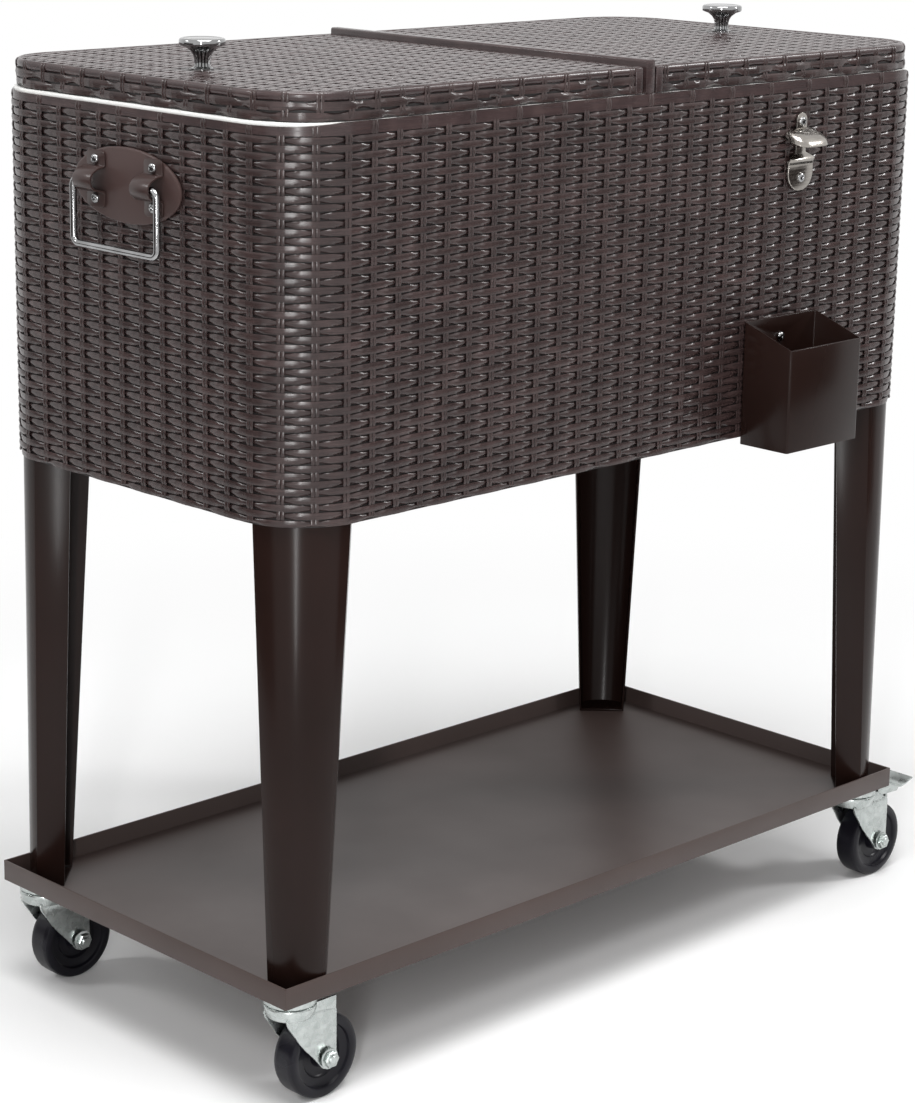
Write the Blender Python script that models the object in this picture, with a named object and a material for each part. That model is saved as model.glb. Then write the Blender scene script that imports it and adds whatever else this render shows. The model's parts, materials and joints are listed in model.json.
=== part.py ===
"""Rolling patio cooler: a woven tub with two lids that open from its ends, on four sheet legs,
a low shelf and four swivel casters. Metres, +Z up. The origin is on the floor, under the middle
of the whole object's outline. The front is -Y and the brakes are on the +X end."""

import math

import bmesh
import bpy
from mathutils import Vector

# Clearances, and how far cutters and joined shapes reach
SEAT_GAP = 0.0003
PIN_CLEARANCE = 0.0003
OVERRUN = 0.004
JOIN_DEPTH = 0.0008

# Facets of the round shapes
SMOOTH_ANGLE = math.radians(35)
CORNER_STEPS = 8
PIN_STEPS = 12
WHEEL_STEPS = 24
KNOB_STEPS = 24
DIAGONAL_SHARE = math.sqrt(0.5)

# Tub casing
TUB_LENGTH = 0.760
TUB_DEPTH = 0.379
TUB_CORNER = 0.061
TUB_HEIGHT = 0.2957
TUB_WALL = 0.003
TUB_FOOT_BEVEL = 0.002

# Insulation and inner tub
SIDE_FOAM = 0.018
FLOOR_FOAM = 0.020
LINER_WALL = 0.002
LINER_LIP = 0.0036
LINER_LIP_SETBACK = 0.002

# Lids
LID_HEIGHT = 0.0218
LID_SETBACK_X = 0.004
LID_SETBACK_Y = 0.003
LID_CORNER = 0.058
LID_WALL = 0.003
LID_SKIN = 0.002
LID_PANEL = 0.002
LID_PANEL_RISE = 0.0022
SKIRT_SWING_GAP = 0.0004

# Bridge across the tub, with the ridge between the lids
RIDGE_WIDTH = 0.010
RIDGE_RISE = 0.005
RIDGE_ROUND = 0.002
RIDGE_OVERHANG = 0.0005
SEAM_GAP = 0.003
BRIDGE_BASE_WIDTH = 0.044
BRIDGE_BASE = 0.0017

# Hinges of the lids
HINGE_SETBACK = 0.009
HINGE_DEPTH = 0.007
HINGE_ROD_RADIUS = 0.002
EAR_RADIUS = 0.0047
EAR_THICKNESS = 0.006
EAR_STEM_WIDTH = 0.007
EAR_ARM = 0.0065
EAR_ARM_WIDTH = 0.004
EAR_END_GAP = 0.001

# Lid knobs
KNOB_SETBACK = 0.073
KNOB_HEIGHT = 0.024
KNOB_HEAD_RADIUS = 0.018
KNOB_HEAD_THICKNESS = 0.0045
KNOB_RING_WIDTH = 0.0045
KNOB_DISH = 0.0012
KNOB_NECK_RADIUS = 0.0120
KNOB_FOOT_RADIUS = 0.0065
KNOB_FLUTE_DEPTH = 0.0005
KNOB_FLUTES = 8
KNOB_STUD_RADIUS = 0.003
KNOB_STUD_LENGTH = 0.0016
# Shares of the neck's height, and of its spread from foot to head, at its rings
KNOB_NECK_SHARES = ((0.3, 0.06), (0.6, 0.25), (0.85, 0.60), (1.0, 1.0))

# Handles on the ends
HANDLE_PLATE_LENGTH = 0.130
HANDLE_PLATE_HEIGHT = 0.058
HANDLE_PLATE_THICKNESS = 0.0025
HANDLE_PLATE_DROP = 0.0573
BAIL_DROP = 0.0553
BAIL_WIRE = 0.006
BAIL_WIDTH = 0.108
BAIL_REACH = 0.053
BAIL_STANDOFF = 0.014
BAIL_BEND = 0.006
BAIL_END_SETBACK = 0.0015
BAIL_BEND_STEPS = 5
BRACKET_SPACING = 0.070
BRACKET_WIDTH = 0.022
BRACKET_HEIGHT = 0.044
BRACKET_SHEET = 0.0015
BRACKET_HUMP_HEIGHT = 0.025
BRACKET_CREST_HEIGHT = 0.0125
BRACKET_PLAY = 0.0005

# Bottle opener on the front
OPENER_SETBACK = 0.1895
OPENER_TOP_DROP = 0.023
OPENER_HEIGHT = 0.066
OPENER_SHEET = 0.0018
OPENER_TAB_WIDTH = 0.015
OPENER_PLATE_WIDTH = 0.039
OPENER_HOOD_WIDTH = 0.043
OPENER_HOOD_DEPTH = 0.0207
OPENER_HOOD_TOP_DROP = 0.0122
OPENER_HOOD_HEIGHT = 0.0178
OPENER_HOOD_LIP = 0.0025
OPENER_NECK_WIDTH = 0.013
OPENER_NECK_DEPTH = 0.0035
OPENER_JAW_DROP = 0.039
OPENER_JAW_DEPTH = 0.007
OPENER_JAW_RISE = 0.0045
OPENER_SCREW_RISE = 0.0112
SCREW_HEAD_RADIUS = 0.0042
SCREW_HEAD_HEIGHT = 0.0022
SCREW_SHANK_RADIUS = 0.0018
SCREW_BITE = 0.0022

# Cap catcher on the front
CATCHER_SETBACK = 0.2055
CATCHER_WIDTH = 0.095
CATCHER_DEPTH = 0.052
CATCHER_BACK_HEIGHT = 0.106
CATCHER_FRONT_HEIGHT = 0.088
CATCHER_DROP = 0.0053
CATCHER_SHEET = 0.0012
CATCHER_CORNER = 0.002
CATCHER_CORNER_STEPS = 2
CATCHER_SCREW_DROP = 0.018

# Legs: a rounded corner with both edges turned in
LEG_LENGTH = 0.3764
LEG_SHEET = 0.0016
LEG_PLATE = 0.002
LEG_TOP_SETBACK_X = 0.006
LEG_TOP_SETBACK_Y = 0.0065
LEG_TOP_RADIUS = 0.047
LEG_TOP_FLAT = 0.010
LEG_TOP_EDGE = 0.029
LEG_FOOT_SETBACK_X = 0.0106
LEG_FOOT_SETBACK_Y = 0.0022
LEG_FOOT_RADIUS = 0.031
LEG_FOOT_FLAT = 0.001
LEG_FOOT_EDGE = 0.023

# Shelf tray
TRAY_OVERHANG_X = 0.0016
TRAY_SETBACK_Y = 0.0063
TRAY_RIM = 0.018
TRAY_SHEET = 0.0015

# Casters
CASTER_HEIGHT = 0.0938
SWIVEL_SETBACK_X = 0.0251
SWIVEL_SETBACK_Y = 0.0236
AXLE_TRAIL = 0.027
WHEEL_RADIUS = 0.0355
WHEEL_WIDTH = 0.022
WHEEL_EDGE_ROUND = 0.003
WHEEL_RIM = 0.009
WHEEL_WEB_RECESS = 0.005
HUB_RADIUS = 0.010
RACEWAY_RADIUS = 0.0215
RACEWAY_THICKNESS = 0.006
RACEWAY_CHAMFER = 0.001
CROWN_RADIUS = 0.0195
CROWN_THICKNESS = 0.0072
KINGPIN_RADIUS = 0.005
KINGPIN_HEAD_RADIUS = 0.0075
KINGPIN_HEAD = 0.0026
CHEEK_SHEET = 0.002
CHEEK_INNER = 0.0125
CHEEK_FRONT = 0.012
CHEEK_REAR = 0.009
CHEEK_BOSS = 0.008
CHEEK_DROP = 0.0006
CHEEK_LIP = 0.0025
CHEEK_CURVE_STEPS = 6
AXLE_RADIUS = 0.004
NUT_RADIUS = 0.0070
NUT_THICKNESS = 0.0045
NUT_SIDES = 6
BOLT_TAIL = 0.003

# Foot brakes of the two casters at +X
PEDAL_REACH = 0.0705
PEDAL_SHEET = 0.0015
PEDAL_HEIGHT_GAP = 0.0006
PEDAL_START = 0.0225
PEDAL_BEND = 0.060
PEDAL_BEND_DROP = 0.0065
PEDAL_TIP_RISE = 0.0075
PEDAL_WIDTH = 0.025
PEDAL_TIP_WIDTH = 0.035
# Shares of the upturned tip's length, and of its rise and flare, at its rings
PEDAL_TIP_SHARES = ((0.45, 0.30), (1.0, 1.0))
PEDAL_SIDE_SHEET = 0.0014
PEDAL_SIDE_GAP = 0.0006
PEDAL_SIDE_DEPTH = 0.006
PEDAL_SIDE_END_DEPTH = 0.003
PEDAL_PIVOT_X = 0.029
PEDAL_PIVOT_DROP = 0.0170
PEDAL_PIN_RADIUS = 0.002
PEDAL_PIN_EAR = 0.003
PEDAL_SHOE_X = 0.037
PEDAL_SHOE = 0.003
PEDAL_SHOE_GAP = 0.002
BRAKED_CHEEK_DROP = 0.0105

# Drain through the back wall
DRAIN_SETBACK = 0.080
DRAIN_RISE = 0.0425
SPOUT_RADIUS = 0.009
SPOUT_BORE = 0.0055
SPOUT_FLANGE_RADIUS = 0.014
SPOUT_FLANGE = 0.002
SPOUT_REACH = 0.018
DRAIN_HOLE_CLEARANCE = 0.0004
DRAIN_NUT_RADIUS = 0.0155
DRAIN_NUT = 0.0045
DRAIN_CAP_RADIUS = 0.0125
DRAIN_CAP_WALL = 0.0025
DRAIN_CAP_START = 0.0060

# Heights above the floor
DECK_TOP = CASTER_HEIGHT + TRAY_SHEET
LEG_BOTTOM = DECK_TOP + SEAT_GAP
LEG_TOP = LEG_BOTTOM + LEG_LENGTH
TUB_BOTTOM = LEG_TOP + SEAT_GAP
TUB_TOP = TUB_BOTTOM + TUB_HEIGHT
LIP_TOP = TUB_TOP + SEAT_GAP + LINER_LIP
SKIRT_BOTTOM = LIP_TOP + SEAT_GAP
LID_TOP = SKIRT_BOTTOM + LID_HEIGHT
HINGE_Z = LID_TOP - HINGE_DEPTH
PANEL_BOTTOM = SKIRT_BOTTOM + LID_PANEL_RISE
BRIDGE_BOTTOM = LIP_TOP + SEAT_GAP
BRIDGE_BASE_TOP = BRIDGE_BOTTOM + BRIDGE_BASE
BAIL_Z = TUB_TOP - BAIL_DROP
CATCHER_BOTTOM = TUB_BOTTOM - CATCHER_DROP
DRAIN_Z = TUB_BOTTOM + DRAIN_RISE

# Half sizes and hinge lines
TUB_X = TUB_LENGTH / 2
TUB_Y = TUB_DEPTH / 2
LID_X = TUB_X - LID_SETBACK_X
LID_Y = TUB_Y - LID_SETBACK_Y
SEAM_X = RIDGE_WIDTH / 2 + SEAM_GAP
HINGE_X = SEAM_X + HINGE_SETBACK
ROD_HALF = LID_Y - LID_WALL - SEAT_GAP
TRAY_X = TUB_X + TRAY_OVERHANG_X
TRAY_Y = TUB_Y - TRAY_SETBACK_Y
SWIVEL_X = TRAY_X - SWIVEL_SETBACK_X
SWIVEL_Y = TRAY_Y - SWIVEL_SETBACK_Y
KNOB_X = TUB_X - KNOB_SETBACK
OPENER_X = TUB_X - OPENER_SETBACK
CATCHER_X = TUB_X - CATCHER_SETBACK
DRAIN_X = TUB_X - DRAIN_SETBACK

# Caster heights, from the tray down
MOUNT_TOP = CASTER_HEIGHT - SEAT_GAP
RACEWAY_BOTTOM = MOUNT_TOP - RACEWAY_THICKNESS
CROWN_TOP = RACEWAY_BOTTOM - SEAT_GAP
CROWN_BOTTOM = CROWN_TOP - CROWN_THICKNESS
CHEEK_TOP = CROWN_TOP - CHEEK_DROP
CHEEK_OUTER = CHEEK_INNER + CHEEK_SHEET
PEDAL_BOTTOM = CROWN_TOP + PEDAL_HEIGHT_GAP
PEDAL_PIVOT_Z = MOUNT_TOP - PEDAL_PIVOT_DROP

# Reaches of the outline, which centre it on the origin
BRACKET_CREST = BAIL_STANDOFF + BAIL_WIRE / 2 + BRACKET_PLAY + BRACKET_SHEET
RIGHT_REACH = max(SWIVEL_X + max(PEDAL_REACH, AXLE_TRAIL + WHEEL_RADIUS), TUB_X + BRACKET_CREST)
LEFT_REACH = TUB_X + BRACKET_CREST
FRONT_REACH = TUB_Y + SEAT_GAP + CATCHER_DEPTH
BACK_REACH = TUB_Y + SPOUT_REACH + SEAT_GAP + DRAIN_CAP_WALL
CENTRE_OFFSET = Vector(((LEFT_REACH - RIGHT_REACH) / 2, (FRONT_REACH - BACK_REACH) / 2, 0))

SIDES = {"left": -1, "right": 1}
ENDS = {"front": -1, "back": 1}


def clear_scene():
    for obj in list(bpy.data.objects):
        bpy.data.objects.remove(obj, do_unlink=True)


def finish(name, colour, roughness, metallic=0.0):
    material = bpy.data.materials.new(name)
    material.use_nodes = True
    shader = material.node_tree.nodes["Principled BSDF"]
    shader.inputs["Base Color"].default_value = (*colour, 1.0)
    shader.inputs["Roughness"].default_value = roughness
    shader.inputs["Metallic"].default_value = metallic
    return material


# Placing finished shapes

def link(obj, origin):
    obj.location = origin
    obj.parent = bpy.data.objects["cart"]
    bpy.context.scene.collection.objects.link(obj)
    return obj


def mesh_object(name, bm, origin):
    bmesh.ops.recalc_face_normals(bm, faces=bm.faces)
    bmesh.ops.translate(bm, verts=bm.verts, vec=-Vector(origin))
    mesh = bpy.data.meshes.new(name)
    bm.to_mesh(mesh)
    bm.free()
    return link(bpy.data.objects.new(name, mesh), origin)


def piece(name, bm, material, origin=(0, 0, 0)):
    """A visible sub-part, with its object origin at the given place in the cart."""
    obj = mesh_object(name, bm, origin)
    obj.data.shade_smooth()
    obj.data.set_sharp_from_angle(angle=SMOOTH_ANGLE)
    obj.data.materials.append(material)
    return obj


def shape_by(obj, operation, bm):
    """Joins the shape in bm to a piece, or cuts it out."""
    tool = mesh_object(obj.name + "_" + operation.lower(), bm, obj.location)
    tool.hide_render = True
    tool.display_type = "WIRE"
    modifier = obj.modifiers.new(operation.lower(), "BOOLEAN")
    modifier.operation = operation
    modifier.solver = "EXACT"
    modifier.object = tool


def join(obj, bm):
    shape_by(obj, "UNION", bm)


def cut(obj, bm):
    shape_by(obj, "DIFFERENCE", bm)


# Basic shapes

def loft(bm, rings, closed=False):
    """Skin over rings of equal length; the ends are capped unless the rings close on themselves."""
    verts = [[bm.verts.new(point) for point in ring] for ring in rings]
    pairs = list(zip(verts, verts[1:]))
    if closed:
        pairs.append((verts[-1], verts[0]))
    count = len(verts[0])
    for low, high in pairs:
        for i in range(count):
            j = (i + 1) % count
            bm.faces.new((low[i], low[j], high[j], high[i]))
    if not closed:
        bm.faces.new(verts[0])
        bm.faces.new(verts[-1])
    return bm


def new_loft(rings, closed=False):
    return loft(bmesh.new(), rings, closed)


def level(outline, z):
    return [Vector((x, y, z)) for x, y in outline]


def prism_z(bm, outline, low, high):
    return loft(bm, [level(outline, low), level(outline, high)])


def prism_y(bm, outline, low, high):
    """An outline of (x, z) points, drawn out along Y."""
    return loft(bm, [[Vector((x, y, z)) for x, z in outline] for y in (low, high)])


def prism_x(bm, outline, low, high):
    """An outline of (y, z) points, drawn out along X."""
    return loft(bm, [[Vector((x, y, z)) for y, z in outline] for x in (low, high)])


def box(bm, low, high):
    outline = [(low[0], low[1]), (high[0], low[1]), (high[0], high[1]), (low[0], high[1])]
    return prism_z(bm, outline, low[2], high[2])


def arc(centre, radius, start, end, steps):
    angles = [math.radians(start + (end - start) * i / steps) for i in range(steps + 1)]
    return [(centre[0] + radius * math.cos(a), centre[1] + radius * math.sin(a)) for a in angles]


def rounded_rectangle(half_x, half_y, radius, steps=CORNER_STEPS):
    outline = []
    for quarter, (sx, sy) in enumerate(((1, 1), (-1, 1), (-1, -1), (1, -1))):
        centre = (sx * (half_x - radius), sy * (half_y - radius))
        outline += arc(centre, radius, 90 * quarter, 90 * quarter + 90, steps)
    return outline


def turned(bm, profile, centre, axis, steps, closed=False, flutes=0, flute_depths=None):
    """A profile of (radius, distance along the axis) turned about an axis through centre."""
    along = {"X": 0, "Y": 1, "Z": 2}[axis]
    across = [i for i in range(3) if i != along]
    rings = []
    for row, (radius, distance) in enumerate(profile):
        ring = []
        for i in range(steps):
            angle = 2 * math.pi * i / steps
            depth = flute_depths[row] * (1 + math.cos(flutes * angle)) / 2 if flutes else 0
            point = Vector(centre)
            point[along] += distance
            point[across[0]] += (radius - depth) * math.cos(angle)
            point[across[1]] += (radius - depth) * math.sin(angle)
            ring.append(point)
        rings.append(ring)
    return loft(bm, rings, closed)


def cylinder(bm, radius, centre, axis, low, high, steps=PIN_STEPS):
    return turned(bm, [(radius, low), (radius, high)], centre, axis, steps)


# Tub

def tub_walls():
    """Half sizes and corner radius of each surface, from the outside in."""
    insets = [0, TUB_WALL]
    insets.append(insets[-1] + SEAT_GAP)
    insets.append(insets[-1] + SIDE_FOAM)
    insets.append(insets[-1] + SEAT_GAP)
    insets.append(insets[-1] + LINER_WALL)
    return [rounded_rectangle(TUB_X - i, TUB_Y - i, TUB_CORNER - i) for i in insets]


def drain_hole():
    radius = SPOUT_RADIUS + DRAIN_HOLE_CLEARANCE
    reach = TUB_WALL + SIDE_FOAM + LINER_WALL + 2 * SEAT_GAP + OVERRUN
    return cylinder(bmesh.new(), radius, (DRAIN_X, TUB_Y, DRAIN_Z), "Y", -reach, OVERRUN)


def tub_shell(woven):
    outer, inner = tub_walls()[:2]
    foot = rounded_rectangle(TUB_X - TUB_FOOT_BEVEL, TUB_Y - TUB_FOOT_BEVEL, TUB_CORNER - TUB_FOOT_BEVEL)
    rings = [
        level(foot, TUB_BOTTOM),
        level(outer, TUB_BOTTOM + TUB_FOOT_BEVEL),
        level(outer, TUB_TOP),
        level(inner, TUB_TOP),
        level(inner, TUB_BOTTOM + TUB_WALL),
    ]
    shell = piece("tub_shell", new_loft(rings), woven)
    holes = drain_hole()
    for x, z in screw_places():
        radius = SCREW_SHANK_RADIUS + PIN_CLEARANCE
        cylinder(holes, radius, (x, -TUB_Y, z), "Y", -OVERRUN, SCREW_BITE + SEAT_GAP)
    cut(shell, holes)


def end_corners(outline, first):
    """The two neighbouring corners of a tub outline, from the first one given."""
    count = len(outline) // 4
    return [outline[i % len(outline)] for i in range(first * count, (first + 2) * count)]


def tub_foam(foam):
    """A floor slab and four wall panels; the end panels take the corners."""
    outer, inner = tub_walls()[2:4]
    low = TUB_BOTTOM + TUB_WALL + SEAT_GAP
    stand = low + FLOOR_FOAM + SEAT_GAP
    piece("tub_floor_foam", prism_z(bmesh.new(), outer, low, low + FLOOR_FOAM), foam)
    for name, first in (("left", 1), ("right", 3)):
        outline = end_corners(outer, first) + end_corners(inner, first)[::-1]
        piece(f"tub_{name}_foam", prism_z(bmesh.new(), outline, stand, TUB_TOP), foam)
    reach = TUB_X - TUB_CORNER - SEAT_GAP
    far = TUB_Y - TUB_WALL - SEAT_GAP
    for name, side in (("front", -1), ("back", 1)):
        low_y, high_y = sorted((side * far, side * (far - SIDE_FOAM)))
        panel = box(bmesh.new(), (-reach, low_y, stand), (reach, high_y, TUB_TOP))
        wall = piece(f"tub_{name}_foam", panel, foam)
        if side > 0:
            cut(wall, drain_hole())


def tub_liner(white):
    outer, inner = tub_walls()[4:6]
    setback = LINER_LIP_SETBACK
    lip = rounded_rectangle(TUB_X - setback, TUB_Y - setback, TUB_CORNER - setback)
    low = TUB_BOTTOM + TUB_WALL + FLOOR_FOAM + 2 * SEAT_GAP
    rings = [
        level(outer, low),
        level(outer, TUB_TOP + SEAT_GAP),
        level(lip, TUB_TOP + SEAT_GAP),
        level(lip, LIP_TOP),
        level(inner, LIP_TOP),
        level(inner, low + LINER_WALL),
    ]
    liner = piece("tub_liner", new_loft(rings), white)
    cut(liner, drain_hole())


# Bridge and hinges

def bridge_ear_places():
    end = ROD_HALF - EAR_END_GAP - EAR_THICKNESS / 2
    return (-end, 0, end)


def lid_ear_places():
    step = EAR_THICKNESS + SEAT_GAP
    low, middle, high = bridge_ear_places()
    return (low + step, middle + step, high - step)


def rod_bores(sides):
    bores = bmesh.new()
    radius = HINGE_ROD_RADIUS + PIN_CLEARANCE
    reach = ROD_HALF + OVERRUN
    for side in sides:
        cylinder(bores, radius, (side * HINGE_X, 0, HINGE_Z), "Y", -reach, reach)
    return bores


def centre_bridge(woven):
    half = RIDGE_WIDTH / 2
    top = LID_TOP + RIDGE_RISE
    reach = LID_Y + RIDGE_OVERHANG
    centre_z = top - RIDGE_ROUND
    outline = [(half, BRIDGE_BOTTOM)]
    outline += arc((half - RIDGE_ROUND, centre_z), RIDGE_ROUND, 0, 90, CORNER_STEPS // 2)
    outline += arc((RIDGE_ROUND - half, centre_z), RIDGE_ROUND, 90, 180, CORNER_STEPS // 2)
    outline += [(-half, BRIDGE_BOTTOM)]
    bridge = piece("centre_bridge", prism_y(bmesh.new(), outline, -reach, reach), woven)
    base_x = BRIDGE_BASE_WIDTH / 2
    low = (-base_x, -ROD_HALF, BRIDGE_BOTTOM)
    join(bridge, box(bmesh.new(), low, (base_x, ROD_HALF, BRIDGE_BASE_TOP)))
    ears = bmesh.new()
    stem = EAR_STEM_WIDTH / 2
    lean = math.degrees(math.acos(stem / EAR_RADIUS))
    for side in SIDES.values():
        eye = (side * HINGE_X, HINGE_Z)
        ear = arc(eye, EAR_RADIUS, -lean, 180 + lean, PIN_STEPS)
        foot = BRIDGE_BASE_TOP - JOIN_DEPTH
        ear += [(eye[0] - stem, foot), (eye[0] + stem, foot)]
        for y in bridge_ear_places():
            prism_y(ears, ear, y - EAR_THICKNESS / 2, y + EAR_THICKNESS / 2)
    join(bridge, ears)
    cut(bridge, rod_bores(SIDES.values()))


def hinge_rod(name, side, steel):
    centre = (side * HINGE_X, 0, HINGE_Z)
    rod = cylinder(bmesh.new(), HINGE_ROD_RADIUS, centre, "Y", -ROD_HALF, ROD_HALF)
    piece(name + "_hinge_rod", rod, steel, centre)


# Lids

def lid_outline(side, seam, inset, radius):
    """Square at the seam and rounded at the outer end, as (x, y) points."""
    x, y = LID_X - inset, LID_Y - inset
    outline = [(seam, -y)]
    outline += arc((x - radius, radius - y), radius, -90, 0, CORNER_STEPS)
    outline += arc((x - radius, y - radius), radius, 0, 90, CORNER_STEPS)
    outline += [(seam, y)]
    return [(side * px, py) for px, py in outline]


def lid_shell(name, side, woven, pivot):
    outer = lid_outline(side, SEAM_X, 0, LID_CORNER)
    shell = piece(name + "_lid_shell", prism_z(bmesh.new(), outer, SKIRT_BOTTOM, LID_TOP), woven, pivot)
    pocket_outline = lid_outline(side, SEAM_X - OVERRUN, LID_WALL, LID_CORNER - LID_WALL)
    pocket = prism_z(bmesh.new(), pocket_outline, SKIRT_BOTTOM - OVERRUN, LID_TOP - LID_SKIN)
    cut(shell, pocket)
    swing = HINGE_Z - LIP_TOP - SKIRT_SWING_GAP
    corner = arc((HINGE_X, HINGE_Z), swing, 270, 180, CORNER_STEPS)
    corner += [(HINGE_X - swing - OVERRUN, HINGE_Z)]
    corner += [(HINGE_X - swing - OVERRUN, HINGE_Z - swing - OVERRUN)]
    corner += [(HINGE_X, HINGE_Z - swing - OVERRUN)]
    corner = [(side * x, z) for x, z in corner]
    reach = LID_Y + OVERRUN
    cut(shell, prism_y(bmesh.new(), corner, -reach, reach))
    radius = KNOB_STUD_RADIUS + PIN_CLEARANCE
    place = (side * KNOB_X, 0, LID_TOP)
    cut(shell, cylinder(bmesh.new(), radius, place, "Z", -LID_SKIN - OVERRUN, OVERRUN))


def lid_liner(name, side, white, pivot):
    inset = LID_WALL + SEAT_GAP
    seam = HINGE_X + EAR_ARM
    outline = lid_outline(side, seam, inset, LID_CORNER - inset)
    sheet = prism_z(bmesh.new(), outline, PANEL_BOTTOM, PANEL_BOTTOM + LID_PANEL)
    panel = piece(name + "_lid_liner", sheet, white, pivot)
    foot = PANEL_BOTTOM + LID_PANEL - JOIN_DEPTH
    far = seam + EAR_ARM_WIDTH
    ear = [(far, foot), (seam, foot), (seam, HINGE_Z - EAR_RADIUS)]
    ear += arc((HINGE_X, HINGE_Z), EAR_RADIUS, 270, 90, PIN_STEPS)
    ear += [(far, HINGE_Z + EAR_RADIUS)]
    ear = [(side * x, z) for x, z in ear]
    ears = bmesh.new()
    for y in lid_ear_places():
        prism_y(ears, ear, y - EAR_THICKNESS / 2, y + EAR_THICKNESS / 2)
    join(panel, ears)
    cut(panel, rod_bores([side]))


def lid_foam(name, side, foam, pivot):
    inset = LID_WALL + SEAT_GAP
    seam = HINGE_X + EAR_ARM + EAR_ARM_WIDTH + SEAT_GAP
    outline = lid_outline(side, seam, inset, LID_CORNER - inset)
    low = PANEL_BOTTOM + LID_PANEL + SEAT_GAP
    slab = prism_z(bmesh.new(), outline, low, LID_TOP - LID_SKIN - SEAT_GAP)
    piece(name + "_lid_foam", slab, foam, pivot)


def lid_knob(name, side, steel, pivot):
    """Stud, fluted trumpet neck, and a head whose ring stands proud of a shallow dish."""
    head = KNOB_HEIGHT - KNOB_HEAD_THICKNESS
    under = head - KNOB_RING_WIDTH / 3
    rise = under - KNOB_RING_WIDTH / 2
    dish = KNOB_HEAD_RADIUS - KNOB_RING_WIDTH
    profile = [(KNOB_STUD_RADIUS, -KNOB_STUD_LENGTH), (KNOB_STUD_RADIUS, 0), (KNOB_FOOT_RADIUS, 0)]
    depths = [0, 0, KNOB_FLUTE_DEPTH]
    for rise_share, spread_share in KNOB_NECK_SHARES:
        spread = (KNOB_NECK_RADIUS - KNOB_FOOT_RADIUS) * spread_share
        profile.append((KNOB_FOOT_RADIUS + spread, rise * rise_share))
        depths.append(KNOB_FLUTE_DEPTH)
    profile += [
        (KNOB_HEAD_RADIUS - KNOB_DISH, under),
        (KNOB_HEAD_RADIUS, head),
        (KNOB_HEAD_RADIUS, KNOB_HEIGHT - KNOB_DISH),
        (KNOB_HEAD_RADIUS - KNOB_DISH, KNOB_HEIGHT),
        (dish + KNOB_DISH, KNOB_HEIGHT),
        (dish - KNOB_DISH, KNOB_HEIGHT - KNOB_DISH),
    ]
    depths += [0] * (len(profile) - len(depths))
    centre = (side * KNOB_X, 0, LID_TOP + SEAT_GAP)
    knob = turned(bmesh.new(), profile, centre, "Z", KNOB_STEPS, False, KNOB_FLUTES, depths)
    piece(name + "_lid_knob", knob, steel, pivot)


def lid(name, side, finishes):
    pivot = (side * HINGE_X, 0, HINGE_Z)
    lid_shell(name, side, finishes["woven"], pivot)
    lid_foam(name, side, finishes["foam"], pivot)
    lid_liner(name, side, finishes["white"], pivot)
    lid_knob(name, side, finishes["steel"], pivot)


# Handles

def handle_plate(name, side, painted):
    wall = TUB_X + SEAT_GAP
    half_y, half_z = HANDLE_PLATE_LENGTH / 2, HANDLE_PLATE_HEIGHT / 2
    centre_z = TUB_TOP - HANDLE_PLATE_DROP
    unit = arc((0, 0), 1, 0, 360, WHEEL_STEPS)[:-1]
    outline = [(y * half_y, centre_z + z * half_z) for y, z in unit]
    low, high = side * wall, side * (wall + HANDLE_PLATE_THICKNESS)
    piece(name + "_handle_plate", prism_x(bmesh.new(), outline, low, high), painted)


def handle_bracket(name, side, y, painted):
    """A strap with a hump that the bail's end passes under."""
    low = TUB_X + 2 * SEAT_GAP + HANDLE_PLATE_THICKNESS
    crest = TUB_X + BRACKET_CREST
    tab, hump, flat = BRACKET_HEIGHT / 2, BRACKET_HUMP_HEIGHT / 2, BRACKET_CREST_HEIGHT / 2
    sheet = BRACKET_SHEET
    outline = []
    for half in (1, -1):
        outer = [(low, tab), (low + sheet, tab), (low + sheet, hump), (crest, flat)]
        outline += [(x, half * z) for x, z in outer[::half]]
    for half in (-1, 1):
        inner = [(low, hump - sheet), (crest - sheet, flat - sheet / 2)]
        outline += [(x, half * z) for x, z in inner[::-half]]
    outline = [(side * x, BAIL_Z + z) for x, z in outline]
    half_width = BRACKET_WIDTH / 2
    strap = prism_y(bmesh.new(), outline, y - half_width, y + half_width)
    piece(name, strap, painted)


def bail(name, side, steel):
    """Round wire: two ends that point inwards on the pivot line, two arms and a grip."""
    radius = BAIL_WIRE / 2
    half = BAIL_WIDTH / 2 - radius
    bottom = radius - BAIL_REACH
    end = (BRACKET_SPACING - BRACKET_WIDTH) / 2 - BAIL_END_SETBACK
    path = [(end, 0)]
    path += arc((half - BAIL_BEND, -BAIL_BEND), BAIL_BEND, 90, 0, BAIL_BEND_STEPS)
    path += arc((half - BAIL_BEND, bottom + BAIL_BEND), BAIL_BEND, 0, -90, BAIL_BEND_STEPS)
    path += [(-y, z) for y, z in reversed(path)]
    curve = bpy.data.curves.new(name + "_bail", "CURVE")
    curve.dimensions = "3D"
    curve.bevel_depth = radius
    curve.bevel_resolution = 2
    curve.use_fill_caps = True
    spline = curve.splines.new("POLY")
    spline.points.add(len(path) - 1)
    for point, (y, z) in zip(spline.points, path):
        point.co = (0, y, z, 1)
    curve.materials.append(steel)
    pivot = (side * (TUB_X + BAIL_STANDOFF), 0, BAIL_Z)
    link(bpy.data.objects.new(name + "_bail", curve), pivot)


def handle(name, side, finishes):
    handle_plate(name, side, finishes["painted"])
    for end, way in ENDS.items():
        y = way * BRACKET_SPACING / 2
        handle_bracket(f"{name}_handle_{end}_bracket", side, y, finishes["painted"])
    bail(name, side, finishes["steel"])


# Bottle opener, cap catcher and their screws

def opener_top():
    return TUB_TOP - OPENER_TOP_DROP


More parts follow.
